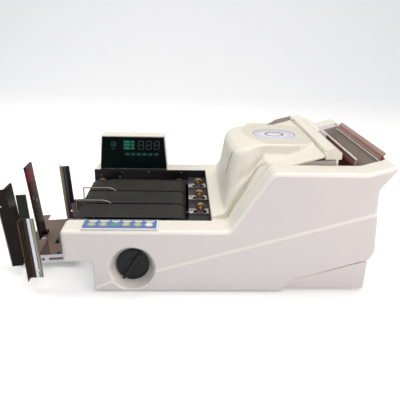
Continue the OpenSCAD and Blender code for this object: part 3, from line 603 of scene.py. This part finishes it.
# the lower flank that swells out to the full width
SWELL = [(-140, -5.6, 0), (-87.5, 15.8, 6), (-60, 24.5, 20), (-32.6, 31.2, 6), (262, 116.8, 0),
         (262, -60, 0), (-140, -60, 0)]


def knob_dish(g, shell):
    """sink a tapered dish for the speed knob, with a bore and a slot behind it"""
    radius = np.sqrt((g.x - KNOB_X) ** 2 + (g.z - KNOB_Z) ** 2)
    backing = np.maximum(np.maximum(radius - 29, 123.5 - g.y), g.y - (SIDE_FACE - 1))
    shell = np.minimum(shell, backing)
    taper = radius - (28 - (HALF_WIDTH - g.y) * 5.7 / 16)
    dish = round_max(taper * 0.94, HALF_WIDTH - 16 - g.y, 2.0)
    shell = round_max(shell, -dish, 2.4)
    shell = np.maximum(shell, -np.maximum(radius - 3.7, g.y - 127))
    return np.maximum(shell, -g.box(-150, -87, 127.4, 131.2, 33, 55))


def side_panel(name, near):
    """built on the +y side; the near panel is dished for the knob and mirrored"""
    g = Grid((-147, 103.5, -1.5), (250, 145, 166), 0.9)
    swell = np.clip(-g.poly_xz(fillet(SWELL)) / 4.6 + 0.02, 0, 1)
    swell = 0.72 * swell + 0.28 * smooth_step(swell)
    face = SIDE_FACE + (HALF_WIDTH - SIDE_FACE) * swell
    edge_radius = 1.6 + 4.2 * smooth_step((g.z - 22) / 40.0)
    shell = round_max(g.poly_xz(fillet(PANEL)), (g.y - face) * 0.95, edge_radius)
    shell = round_max(shell, WALL_INNER - g.y, 1.1)
    hollow = np.maximum(np.maximum(g.poly_xz(fillet(HOLLOW)), g.y - (SIDE_FACE - 3)),
                        WALL_INNER + 3 - g.y)
    shell = np.maximum(shell, -hollow)
    shell = np.maximum(shell, -np.maximum(g.poly_xz(OPENING), g.y - (WALL_INNER + 4)))
    if near:
        shell = knob_dish(g, shell)
    return g.mesh(name, shell, "moulded_shell", flip_y=near)


stand_in(side_panel("side_panel_near_shell", near=True), "side_panel_near")
stand_in(side_panel("side_panel_far_shell", near=False), "side_panel_far")

# ------------------------------------------------------------------ top cover with the dome
# the dome's half plan at its crown and foot: x, half width
DOME_TOP = [(60.3, 14), (61.0, 29), (63.6, 46), (67.4, 57), (72, 64.5), (78, 68.2), (84, 67.2),
            (92, 63), (100, 61.5), (150, 61.5), (172.4, 49)]
DOME_FOOT = [(52.5, 20), (52.5, 45), (52.7, 62), (53.6, 74), (56, 82), (60.5, 86.5), (68, 87),
             (80, 84), (95, 72), (150, 61.5), (172.4, 49)]
DOME_FOOT_Z, DOME_RISE = 87.0, 74.0
# side-view outlines of the full-width cover and its raised middle: x, z, corner radius
COVER_STRIP = [(0, RIM, 0), (56.5, RIM, 5), (103.7, 154.6, 4), (131, 154.6, 8), (220, 180.3, 0),
               (220, 0, 0), (0, 0, 0)]
COVER_RAISED = [(0, 77, 0), (36.4, 84.8, 0), (53, 88.6, 6), (73, 121.0, 14), (90, 139.5, 14),
                (102.5, 154.2, 2), (106, 154.2, 0), (106, 0, 0), (0, 0, 0)]
# half width of the raised middle: x, half width
RAISED_HALF = [(30, 101.8), (36.4, 101.8), (53, 99), (62.6, 90), (75, 88.5), (83, 84), (91, 78),
               (97, 80), (103, 100), (110, 104)]


def dome_plan(g):
    """distance to the dome's plan outline, which changes with height"""
    plan = np.zeros((g.x.size, g.y.size, g.z.size), np.float32)
    for k in range(g.z.size):
        f = min(max((g.z[0, 0, k] - DOME_FOOT_Z) / DOME_RISE, -0.12), 1.08)
        half = [(a[0] + (b[0] - a[0]) * f, a[1] + (b[1] - a[1]) * f)
                for a, b in zip(DOME_FOOT, DOME_TOP)]
        outline = half + [(x, -y) for x, y in reversed(half)]
        plan[:, :, k] = polygon_distance(g.x[:, :, 0], g.y[:, :, 0], outline)
    return plan


def top_cover():
    g = Grid((34, -108, 76), (173.5, 108, 170), 0.75)
    side = np.abs(g.y)
    half = np.interp(g.x, *zip(*RAISED_HALF))
    raised = round_max(g.poly_xz(fillet(COVER_RAISED)), (side - half) * 0.93, 1.3)
    solid = round_min(g.poly_xz(fillet(COVER_STRIP)), raised, 1.0)
    # the dome's top is flat inside an ellipse and falls away outside it
    spread = np.where(g.x < 118, np.sqrt(((g.x - 118) / 36.0) ** 2 + (side / 58.0) ** 2),
                      side / 58.0)
    crown = 167.5 - 5.6 * np.clip((spread - 1) / 0.62, 0, 1.3) ** 1.15
    edge_radius = 2.6 + 5.0 * smooth_step((98 - g.x) / 34.0)
    dome = round_max(dome_plan(g) * 0.985, (g.z - crown) * 0.98, edge_radius)
    blend = 2.2 + 5.0 * smooth_step((96 - g.x) / 30.0) * smooth_step((150 - g.z) / 40.0)
    solid = round_min(solid, dome, blend)
    inside = np.maximum(solid + 3.0, 39.6 - g.x)
    shell = np.maximum(solid, -inside)
    shell = np.maximum(shell, 78.0 - g.z)
    shell = round_max(shell, 36.4 - g.x, 0.9)
    shell = np.maximum(shell, g.x - 170.4)
    shell = round_max(shell, side - 105.4, 0.8)
    return g.mesh("top_cover_shell", shell, "moulded_cream")


COVER = stand_in(top_cover(), "top_cover")
COVER.data.materials[0] = FINISH["moulded_cream"].copy()
# painted shade on the dome's flat top
plateau_painted_shade(COVER.data.materials[0])


# ------------------------------------------------------------------ speed knob
def knob():
    """fluted disc with a grip bar and a pointer at the bar's end; built at +y, then mirrored"""
    g = Grid((KNOB_X - 24, KNOB_BASE - 1.5, KNOB_Z - 24),
             (KNOB_X + 24, KNOB_BASE + 11.5, KNOB_Z + 24), 0.34)
    dx, dz = g.x - KNOB_X, g.z - KNOB_Z
    radius = np.sqrt(dx * dx + dz * dz)
    height = g.y - KNOB_BASE
    flutes = 0.5 + 0.5 * np.cos(np.arctan2(dz, dx) * 30)
    flute = 0.38 * flutes * smooth_step((4.4 - height) / 1.5)
    body = round_max(radius - 20.4 + flute, height - 4.6, 1.5)
    # shallow dish in the face
    dish = np.maximum(radius - 16.8, 3.9 - height)
    body = round_max(body, -round_max(dish, height - 12, 0.5), 0.5)
    # grip bar, along u
    angle = math.radians(-122)
    u = dx * math.cos(angle) + dz * math.sin(angle)
    v = -dx * math.sin(angle) + dz * math.cos(angle)
    half = 3.0 - 0.5 * smooth_step((height - 4) / 6.0)
    bar = round_max(np.abs(v) - half, np.abs(u + 0.4) - 17.8, 1.2)
    bar = np.maximum(round_max(bar, height - 8.6, 1.3), 1.0 - height)
    body = round_min(body, bar, 0.8)
    tip = round_max(np.abs(v) - 1.3, np.abs(u - 18.6) - 3.1, 0.4)
    tip = round_max(tip, np.abs(height - 3.0) - 2.5, 0.4)
    body = round_min(body, tip, 0.4)
    hub = round_max(radius - 8.6, height - 5.2, 0.6)
    body = round_min(body, np.maximum(hub, 1.0 - height), 0.5)
    body = round_max(body, -height, 0.4)
    return g.mesh("speed_knob_moulded", body, "knob_black", flip_y=True)


stand_in(knob(), "speed_knob")

# ------------------------------------------------------------------ CAD pieces kept as they are
# nodes, material, bevel in mm
CAD_FINISHES = [
    ("base_pan", "moulded_shell", 0.8),
    ("rear_panel", "moulded_cream", 0.6),
    ("rubber_feet", "foot_rubber", 0.8),
    ("frame_plate_near frame_plate_far", "satin_black_paint", 0.3),
    ("tray_floor", "satin_black_paint", 0.4),
    ("belt_near belt_mid belt_far", "woven_belt", 0.25),
    ("shaft_bushes", "bearing_bronze", 0.3),
    ("pinch_bracket_near pinch_bracket_mid pinch_bracket_far", "nickel_plate", 0.25),
    ("pinch_roller_near pinch_roller_mid pinch_roller_far", "race_brass", 0.35),
    ("sheet_wire_near sheet_wire_far", "sprung_wire", 0),
    ("display_housing", "moulded_cream", 0.3),
    ("display_window", "smoked_window", 0.15),
    ("display_board", "circuit_board", 0.2),
    ("display_leds", "lamp_dim", 0.2),
    ("button_plate", "film_white", 0.4),
    ("button_1 button_2", "key_lime", 0.35),
    ("button_3", "key_teal", 0.35),
    ("button_4 button_5", "key_lime", 0.35),
    ("button_6", "key_white", 0.35),
    ("knob_encoder", "brushed_aluminium", 0.4),
    ("hopper_bridge", "moulded_cream", 0.7),
    ("cheek_near cheek_far", "cheek_acrylic", 0.3),
    ("hopper_front_plate", "tinted_front_plate", 0.4),
    ("hopper_rear_plate", "tinted_rear_plate", 0.4),
    ("hopper_chute", "taupe_and_grey_moulding", 0.5),
    ("feed_roller", "ground_rubber", 0.5),
    ("separator_roller", "grey_rubber", 0.5),
    ("drive_roller idler_roller", "turned_steel", 0.4),
    ("exit_roller", "ground_rubber", 0.5),
    ("motor", "motor_paint", 0.6),
    ("motor_pulley", "brushed_aluminium", 0.3),
    ("drive_belt", "drive_belt_rubber", 0.3),
    ("main_board", "circuit_board", 0.3),
    ("power_supply", "varnished_windings", 0.5),
    ("power_inlet", "black_plastic", 0.5),
    ("power_switch", "black_plastic", 0.4),
    ("stacker_floor", "brown_plate", 0.3),
    ("stacker_rail_near stacker_rail_far", "zinc_plated_rail", 0.25),
    ("stack_post_near", "chrome_post_painted_reflections_near", 0.25),
    ("stack_post_far", "chrome_post_painted_reflections_far", 0.25),
    ("stop_paddle_far", "red_acrylic", 0.4),
    ("stop_paddle_near", "smoked_acrylic", 0.4),
    ("stop_panel", "smoked_green_acrylic", 0.3)]
UNMERGED = ("display_housing", "display_window")     # their flat faces are not merged


def finish_cad(part, mat, bevel_mm):
    """set a CAD piece's material and soften its edges"""
    obj = frame["nodes"][part]
    if not obj.material_slots:
        obj.data.materials.append(mat)
    for slot in obj.material_slots:
        slot.material = mat
    weld = obj.modifiers.new("weld", "WELD")
    weld.merge_threshold = 2e-6
    if part not in UNMERGED:
        planar = obj.modifiers.new("planar", "DECIMATE")
        planar.decimate_type = "DISSOLVE"
        planar.angle_limit = math.radians(0.6)
    if bevel_mm:
        bevel = obj.modifiers.new("bevel", "BEVEL")
        bevel.width = bevel_mm / 1000.0
        bevel.segments = 3
        bevel.limit_method = "ANGLE"
        bevel.angle_limit = math.radians(28)
        bevel.use_clamp_overlap = True
        bevel.harden_normals = True


for parts, finish, bevel_mm in CAD_FINISHES:
    for part in parts.split():
        finish_cad(part, FINISH[finish], bevel_mm)


# ------------------------------------------------------------------ builders for small parts
def surface(name, verts, faces, finish):
    """smooth mesh object with its normals made consistent"""
    mesh = bpy.data.meshes.new(name)
    mesh.from_pydata(verts, [], faces)
    mesh.validate()
    bm = bmesh.new()
    bm.from_mesh(mesh)
    bmesh.ops.recalc_face_normals(bm, faces=bm.faces)
    bm.to_mesh(mesh)
    bm.free()
    mesh.polygons.foreach_set("use_smooth", [True] * len(mesh.polygons))
    return link_mesh(name, mesh, FINISH[finish])


def axis_frame(axis):
    """the unit axis and two directions square to it"""
    axis = Vector(axis).normalized()
    side = axis.orthogonal().normalized()
    return axis, side, axis.cross(side)


def lathe(name, profile, centre, axis, finish, count=40):
    """revolved [(radius, height)] profile"""
    axis, side, other = axis_frame(axis)
    centre = Vector(centre)
    verts, rings = [], []
    for r, t in profile:
        if r < 1e-6:
            rings.append([len(verts)] * count)
            verts.append(to_frame(*(centre + axis * t)))
            continue
        rings.append(list(range(len(verts), len(verts) + count)))
        for i in range(count):
            q = 2 * math.pi * i / count
            out = (side * math.cos(q) + other * math.sin(q)) * r
            verts.append(to_frame(*(centre + axis * t + out)))
    faces = []
    for low, high in zip(rings, rings[1:]):
        for i in range(count):
            j = (i + 1) % count
            face = list(dict.fromkeys([low[i], low[j], high[j], high[i]]))
            if len(face) > 2:
                faces.append(face)
    return surface(name, verts, faces, finish)


def film(name, loops, w0, w1, finish, place):
    """thin sheet; loops are its outline and any holes, w its thickness direction"""
    bm = bmesh.new()
    edges = []
    for loop in loops:
        vs = [bm.verts.new((u, v, w0)) for u, v in loop]
        edges += [bm.edges.new((vs[i], vs[(i + 1) % len(vs)])) for i in range(len(vs))]
    bmesh.ops.triangle_fill(bm, use_beauty=True, edges=edges)
    made = bmesh.ops.extrude_face_region(bm, geom=list(bm.faces), use_keep_orig=True)
    for item in made["geom"]:
        if isinstance(item, bmesh.types.BMVert):
            item.co.z = w1
    for vert in bm.verts:
        vert.co = to_frame(*place(*vert.co))
    bmesh.ops.recalc_face_normals(bm, faces=bm.faces)
    mesh = bpy.data.meshes.new(name)
    bm.to_mesh(mesh)
    bm.free()
    return link_mesh(name, mesh, FINISH[finish])


def join(name, pieces):
    bm = bmesh.new()
    for piece in pieces:
        bm.from_mesh(piece.data)
    mesh = bpy.data.meshes.new(name)
    bm.to_mesh(mesh)
    bm.free()
    mat = pieces[0].data.materials[0]
    for piece in pieces:
        bpy.data.objects.remove(piece)
    return link_mesh(name, mesh, mat)


def films(name, sheets, w0, w1, finish, place):
    """several sheets, each a list of loops, as one object"""
    return join(name, [film("sheet", loops, w0, w1, finish, place) for loops in sheets])


def rounded(x0, x1, y0, y1, radius, steps=6):
    corners = ((x0, y0), (x1, y0), (x1, y1), (x0, y1))
    return fillet([(x, y, radius) for x, y in corners], steps)


def circle(cx, cy, r, count=40):
    turns = [2 * math.pi * i / count for i in range(count)]
    return [(cx + r * math.cos(q), cy + r * math.sin(q)) for q in turns]


def tube(name, points, radius, finish, count=12):
    points = [Vector(p) for p in points]
    verts, faces = [], []
    for i, p in enumerate(points):
        run = (points[min(i + 1, len(points) - 1)] - points[max(i - 1, 0)]).normalized()
        side = run.cross(Vector((0, 0, 1) if abs(run.z) < 0.9 else (0, 1, 0))).normalized()
        other = run.cross(side)
        for k in range(count):
            q = 2 * math.pi * k / count
            verts.append(to_frame(*(p + (side * math.cos(q) + other * math.sin(q)) * radius)))
    for i in range(len(points) - 1):
        a, b = i * count, (i + 1) * count
        for k in range(count):
            j = (k + 1) % count
            faces.append((a + k, a + j, b + j, b + k))
    faces.append(tuple(range(count)))
    faces.append(tuple(range(len(verts) - count, len(verts))))
    return surface(name, verts, faces, finish)


def screw(name, centre, axis, radius, height, finish, turn):
    """pan head with a sunk cross, as one closed polar mesh; turn is the cross's angle, rad"""
    axis, side, other = axis_frame(axis)
    centre = Vector(centre)
    count, rings = 48, 14
    verts, faces = [to_frame(*centre)], []
    for i in range(rings + 1):
        r = radius * (1 - i / rings)
        for k in range(count):
            q = 2 * math.pi * k / count
            u, v = r * math.cos(q + turn), r * math.sin(q + turn)
            z = 0
            if i:
                crown = math.sqrt(max(0, 1 - (r / radius) ** 2 * 0.93))
                z = height * (0.25 + 0.75 * crown)
                if r < radius * 0.68 and min(abs(u), abs(v)) < radius * 0.14:
                    z -= height * 0.55
            spot = centre + axis * z + side * r * math.cos(q) + other * r * math.sin(q)
            verts.append(to_frame(*spot))
        if i:
            a, b = 1 + (i - 1) * count, 1 + i * count
            for k in range(count):
                j = (k + 1) % count
                faces.append((a + k, a + j, b + j, b + k))
    for k in range(count):
        faces.append((0, 1 + (k + 1) % count, 1 + k))
    return surface(name, verts, faces, finish)


# ------------------------------------------------------------------ display marks
WINDOW_TILT = math.radians(-6.5)
WINDOW_Y, WINDOW_Z = WALL_INNER + 0.2, RIM     # foot of the sloping window


def on_window(x, z, w):
    """z runs up the window, w out of it towards the near side"""
    y = 0.05 - w
    return (x, WINDOW_Y + y * math.cos(WINDOW_TILT) - z * math.sin(WINDOW_TILT),
            WINDOW_Z + y * math.sin(WINDOW_TILT) + z * math.cos(WINDOW_TILT))


def on_wall(x, z, w):
    """upright plane of the far wall"""
    return (x, 105.58 + w, z)


def digit(x0, z0, width, height, thick=1.25, gap=0.22, slant=0.07):
    """the outlines of a slanted seven-segment digit"""
    middle, half = z0 + height / 2, thick / 2
    bars = []
    for z in (z0 + half, middle, z0 + height - half):
        a, b = x0 + half + gap, x0 + width - half - gap
        bars.append([(a, z), (a + half, z + half), (b - half, z + half), (b, z),
                     (b - half, z - half), (a + half, z - half)])
    for x in (x0 + half, x0 + width - half):
        for low, high in ((z0 + half, middle), (middle, z0 + height - half)):
            a, b = low + gap, high - gap
            bars.append([(x, a), (x + half, a + half), (x + half, b - half), (x, b),
                         (x - half, b - half), (x - half, a + half)])
    return [[(x + slant * (z - middle), z) for x, z in bar] for bar in bars]


digits = [[bar] for i in range(3) for bar in digit(-72.2 + 12.7 * i, 32.0, 9.2, 14.2)]
lamp_panel = [[rounded(x0, x1, 32 + 5.1 * r, 32 + 5.1 * r + 4.1, 0.5, 3)]
              for r in range(3) for x0, x1 in ((-95.4, -84.9), (-83.6, -78.4))]
lamp_row = [[rounded(-93.4 + 9.35 * i, -93.4 + 9.35 * i + 7.0, 22.2, 26.6, 0.5, 3)]
            for i in range(6)]
ring_mark = [[circle(-111.7, 40.4, 4.6), circle(-111.7, 40.4, 3.3)],
             [circle(-111.7, 40.4, 1.7)],
             [rounded(-115.0, -108.4, 32.0, 33.2, 0.3, 2)]]
for name, sheets, thick, finish in (
        ("display_segments", digits, 0.12, "segment_dim"),
        ("display_lamp_panel", lamp_panel, 0.14, "lamp_green"),
        ("display_lamp_row", lamp_row, 0.14, "lamp_dim"),
        ("display_ring_mark", ring_mark, 0.12, "lamp_dim")):
    ride(films(name, sheets, 0.0, thick, finish, on_window), "chassis")

# thin coloured trim along the window's edges
trim = [fillet([(-132.3, 1.3, 0.8), (-129.3, 51.7, 0.8), (-31.8, 51.7, 0.8), (-27.0, 1.3, 0.8)], 4),
        [(-131.6, 1.9), (-128.7, 51.1), (-32.4, 51.1), (-27.7, 1.9)]]
ride(films("display_window_edge", [trim], 0.0, 0.10, "window_edge_green", on_window),
     "chassis")

# black strip that closes the tray wall under the window
strip = [(-132.8, 76.0), (-26.4, 76.0), (-26.4, 81.6), (-132.8, 81.6)]
ride(film("display_lower_strip", [strip], 0.0, 0.34, "satin_black_paint", on_wall),
     "chassis")

# ------------------------------------------------------------------ key strip
KEYS_X = [-108.5 + 13.7 * i for i in range(6)]
KEYS_Y = -125.5
PLATE_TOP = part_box("button_plate")[1].z * 1000.0
LEGEND_HALF = (5.2, 5.6, 5.0, 5.8, 5.2, 6.0)     # half length of each key's legend bar
LEGEND_SHIFT = 0.6


def on_plate(x, y, w):
    return (x, y, PLATE_TOP + w)


blue = [rounded(-118.6, -30.8, -135.4, -110.4, 1.6)] + [circle(x, KEYS_Y, 5.1) for x in KEYS_X]
ride(film("key_film_blue", blue, 0.0, 0.12, "film_blue", on_plate),
     "chassis")
# two plain bars to a key: share of the half length, y0, y1
bars = [[rounded(x - half * share + LEGEND_SHIFT, x + half * share + LEGEND_SHIFT, y0, y1, 0.4, 3)]
        for x, half in zip(KEYS_X, LEGEND_HALF)
        for share, y0, y1 in ((1.0, -115.9, -112.9), (0.6, -118.3, -116.6))]
ride(films("key_legend_bars", bars, 0.12, 0.2, "label_bar", on_plate),
     "chassis")
KEY_RIM = [(4.75, 0.0), (5.5, 0.0), (5.5, 0.2), (5.2, 0.34), (4.9, 0.3), (4.75, 0.15), (4.75, 0.0)]
rims = [lathe("rim", KEY_RIM, (x, KEYS_Y, PLATE_TOP + 0.1), (0, 0, 1), "key_rim_grey")
        for x in KEYS_X]
ride(join("key_rims", rims), "chassis")

# ------------------------------------------------------------------ round plate on the dome
PLATE_X, PLATE_Y, PLATE_R = 125.0, -5.0, 31.0
DOME_Z = 167.5


def on_dome(x, y, w):
    return (x, y, DOME_Z + w)


def flat_ring(outer, inner):
    return [circle(PLATE_X, PLATE_Y, r, 96) for r in (outer, inner)]


ride(lathe("cover_round_plate",
           [(0, -0.4), (PLATE_R, -0.4), (PLATE_R, 0.06), (PLATE_R - 0.25, 0.2), (0, 0.2)],
           (PLATE_X, PLATE_Y, DOME_Z), (0, 0, 1), "badge_white", 96), "cover")
ride(films("cover_plate_rings", [flat_ring(28.6, 27.4), flat_ring(13.2, 10.4)], 0.19, 0.26,
           "badge_ring_slate", on_dome), "cover")
ride(films("cover_plate_outer_ring", [flat_ring(24.6, 19.0)], 0.19, 0.25, "badge_ring_pale",
           on_dome), "cover")

# ------------------------------------------------------------------ sensor slit
COVER_TREE = BVHTree.FromPolygons([v.co for v in COVER.data.vertices],
                                  [tuple(p.vertices) for p in COVER.data.polygons])


def on_cover(y, z):
    """first point of the cover met going +x, or None"""
    hit = COVER_TREE.ray_cast(Vector(to_frame(30, y, z)), Vector((1, 0, 0)))[0]
    return (hit.x * 1000 + MID, y, z) if hit else None


# the slit runs down the dome's -x face
slit = [on_cover(-52 + 5.5 * i / 14, 155.5 - 33 * i / 14) for i in range(15)]
ride(tube("cover_sensor_slit", [p for p in slit if p], 0.42, "slot_dark"), "cover")

# ------------------------------------------------------------------ screws
for i, (x, z) in enumerate([(-132.2, 70.3), (-102.3, 68.6), (-55.6, 77.2)]):
    ride(screw(f"tray_wall_screw_{i + 1}", (x, 103.55, z), (0, -1, 0), radius=2.3, height=1.3,
               finish="blackened_screw", turn=0.3 + i), "chassis")
CLIP_PITCH = 52.5
# the two screws of a pinch clip: x, y from the clip's middle, radius, height, turn
CLIP_SCREWS = [(12.1, -4.6, 2.2, 1.2, 0.5), (34.1, 5.0, 1.5, 0.9, 1.1)]
for side, i in (("near", -1), ("mid", 0), ("far", 1)):
    for k, (x, y, radius, height, turned) in enumerate(CLIP_SCREWS):
        ride(screw(f"clip_screw_{side}_{k + 1}", (x, i * CLIP_PITCH + y, 71.15), (0, 0, 1),
                   radius, height, "nickel_plate", turned + i), "chassis")

# ------------------------------------------------------------------ hopper and hinge details
# upper edge of the far cheek, which shows over the cover
lip = [(129.5, 155.5), (146.5, 165.9), (170.6, 172.0), (170.6, 157.0), (150.0, 155.5)]
ride(film("far_cheek_lip", [lip], 0.0, 0.32, "cheek_grey", on_wall),
     "chassis")


def hinge_eye(y, r0=1.25, r1=2.4, length=1.6, soft=0.2):
    """short ring along y with softened rims"""
    end = y + length
    profile = [(r0, y), (r1 - soft, y), (r1, y + soft), (r1, end - soft), (r1 - soft, end),
               (r0 + soft, end), (r0, end - soft), (r0, y)]
    return lathe("eye", profile, (170.8, 0, 167.5), (0, 1, 0), "moulded_cream")


ride(join("cover_hinge_eyes", [hinge_eye(103.6), hinge_eye(-105.2)]), "cover")
# dark sockets in the far hopper wall
SOCKET = [(0, 1.4), (1.5, 1.4), (1.6, 0.4), (2.3, 0.2), (2.5, -0.35), (3.4, -0.45), (3.6, 0.1),
          (3.6, 0.3)]
sockets = [lathe("socket", SOCKET, (x, 84, z), (0, 1, 0), "slot_dark")
           for x, z in ((219, 145.5), (226, 145.2))]
ride(join("hopper_sensor_sockets", sockets), "chassis")


# ------------------------------------------------------------------ stacker details
def turn_xz(x, z, pivot, degrees):
    cx, cz = pivot
    c, s = math.cos(math.radians(degrees)), math.sin(math.radians(degrees))
    return cx + (x - cx) * c - (z - cz) * s, cz + (x - cx) * s + (z - cz) * c


def on_stacker(x, y, z):
    x, z = turn_xz(x, z, STACK_PIVOT, STACK_TILT)
    return (x, y, z)


def on_far_paddle(x, z, y):
    x, z = turn_xz(x, z, (-207, 14), 2.4)
    return on_stacker(x, y, z)


def on_near_paddle(x, z, y):
    x, z = turn_xz(x, z, (-210, 14), 2.4)
    return on_stacker(x, y, z)


def shrink(points, factor):
    centre = Vector((sum(p[0] for p in points) / len(points),
                     sum(p[1] for p in points) / len(points)))
    return [tuple(centre + (Vector(p) - centre) * factor) for p in points]


# painted shade: black sheets in the floor's three-cornered pockets stand for the shade in them;
# points are x, y
POCKETS = [[(-182.8, -7), (-183.3, -28), (-175.6, -28.8)],
           [(-170.4, -54), (-173.3, -64), (-165.6, -65.5)]]
ride(films("stacker_pocket_painted_shade", [[shrink(p, 0.93)] for p in POCKETS], 12.62, 12.74,
           "pocket_painted_shade", on_stacker), BODY_OF["stacker_floor"])

# painted highlights: pale strips along the paddles' edges and a small pale mark on the near paddle
# stand for light caught by the acrylic
far_edge = [(-208.6, 16.5), (-208.0, 16.5), (-208.0, 88), (-208.6, 120.5)]
ride(film("far_paddle_painted_edge_highlight", [far_edge], -13.18, -12.98, "acrylic_edge_painted_highlight",
          on_far_paddle), BODY_OF["stop_paddle_far"])
clips = []
for y, z in ((-9.0, 77.0), (2.2, 71.5)):
    profile = [(-205.85, z - 2.6), (-205.35, z - 2.6), (-205.0, z - 1.2), (-205.0, z + 1.2),
               (-205.35, z + 2.6), (-205.85, z + 2.6)]
    clips.append(film("clip", [profile], y - 1.1, y + 1.1, "nickel_plate", on_far_paddle))
ride(join("far_paddle_clips", clips), BODY_OF["stop_paddle_far"])

near_edge = [(-222.2, 16.0), (-221.2, 16.0), (-221.2, 117.5), (-222.2, 117.5)]
ride(film("near_paddle_painted_edge_highlight", [near_edge], -92.55, -92.38, "smoked_edge_painted_highlight",
          on_near_paddle), BODY_OF["stop_paddle_near"])
ride(film("near_paddle_painted_glint", [rounded(-221.6, -217.4, 96.6, 98.6, 0.7)], -92.75, -92.35,
          "acrylic_edge_painted_highlight", on_near_paddle), BODY_OF["stop_paddle_near"])


# ------------------------------------------------------------------ floor and world, in metres
def studio_paper():
    glow = 0.34
    mat = material("studio_paper", (0.88, 0.88, 0.88), (0.87, 0.87, 0.87), rough=0.85,
                   grain=60, bump=0.02, spec=0.1, emit=glow)
    # the lift towards white is for the camera only, so it lights nothing
    tree = mat.node_tree
    seen = node(tree, "LightPath").outputs["Is Camera Ray"]
    tree.links.new(calc(tree, "MULTIPLY", seen, glow),
                   principled(mat).inputs["Emission Strength"])
    return mat


def studio_floor():
    """sheet that curves up into a wall on the far side"""
    steps, bend, back, top, half = 24, 0.9, 2.2, 2.6, 5
    arc = [i * math.pi / 2 / steps for i in range(1, steps + 1)]
    profile = [(-4.0, 0.0), (back - bend, 0.0)]
    profile += [(back - bend + bend * math.sin(a), bend - bend * math.cos(a)) for a in arc]
    profile.append((back, top))
    verts = [(x, y, z) for y, z in profile for x in (-half, half)]
    faces = [(2 * i, 2 * i + 1, 2 * i + 3, 2 * i + 2) for i in range(len(profile) - 1)]
    mesh = bpy.data.meshes.new("studio_floor")
    mesh.from_pydata(verts, [], faces)
    mesh.polygons.foreach_set("use_smooth", [True] * len(mesh.polygons))
    link_mesh("studio_floor", mesh, studio_paper())


studio_floor()
SCENE.world = bpy.data.worlds.new("studio")
SCENE.world.use_nodes = True
background = SCENE.world.node_tree.nodes["Background"]
background.inputs["Color"].default_value = (0.86, 0.90, 1.0, 1)
background.inputs["Strength"].default_value = 0.42


# ------------------------------------------------------------------ lights, in metres and watts
def area(name, place, target, size, power, colour):
    light = bpy.data.lights.new(name, "AREA")
    light.energy, light.color = power, colour
    light.shape = "RECTANGLE"
    light.size, light.size_y = size
    obj = bpy.data.objects.new(name, light)
    obj.location = place
    obj.rotation_mode = "QUATERNION"
    obj.rotation_quaternion = (Vector(target) - Vector(place)).to_track_quat("-Z", "Y")
    SCENE.collection.objects.link(obj)


area("top_softbox", place=(0.15, 0.2, 1.5), target=(0, 0, 0.08), size=(1.5, 1.1), power=13.5,
     colour=(1.0, 0.955, 0.84))
area("front_fill", place=(-0.5, -1.5, 0.75), target=(0, 0, 0.07), size=(1.2, 0.8), power=0.2,
     colour=(0.80, 0.87, 1.0))
area("right_fill", place=(0.62, -0.85, 0.55), target=(0.12, 0, 0.09), size=(0.7, 0.6),
     power=4.4, colour=(1.0, 0.86, 0.83))
area("left_kick", place=(-0.95, 0.35, 1.15), target=(0.0, 0, 0.10), size=(0.8, 0.6), power=6.5,
     colour=(1.0, 0.98, 0.93))

# ------------------------------------------------------------------ camera
CAMERA_PLACE = Vector((-MID / 1000.0, -0.6775, 0.323))
CAMERA_FALL = 0.376      # slope of the view below level
CAMERA_DRIFT = 0.04      # sideways slope towards +x, before the fall shortens it
CAMERA_ROLL = 0.022      # radians


def camera_axes():
    """the camera's right, up and forward directions"""
    tilt = math.atan(CAMERA_FALL)
    yaw = math.atan(CAMERA_DRIFT * math.cos(tilt))
    forward = Vector((math.sin(yaw) * math.cos(tilt), math.cos(yaw) * math.cos(tilt),
                      -math.sin(tilt)))
    right = Vector((math.cos(yaw), -math.sin(yaw), 0))
    up = right.cross(forward)
    c, s = math.cos(CAMERA_ROLL), math.sin(CAMERA_ROLL)
    return right * c + up * s, -right * s + up * c, forward


def add_camera():
    lens = bpy.data.cameras.new("camera")
    lens.lens, lens.sensor_width = 45.0, 36.0
    lens.clip_start, lens.clip_end = 0.05, 20
    camera = bpy.data.objects.new("camera", lens)
    right, up, forward = camera_axes()
    pose = Matrix((right, up, -forward)).transposed().to_4x4()
    pose.translation = CAMERA_PLACE
    camera.matrix_world = pose
    SCENE.collection.objects.link(camera)
    SCENE.camera = camera


add_camera()
SCENE.view_settings.view_transform = "Standard"
SCENE.view_settings.look = "None"
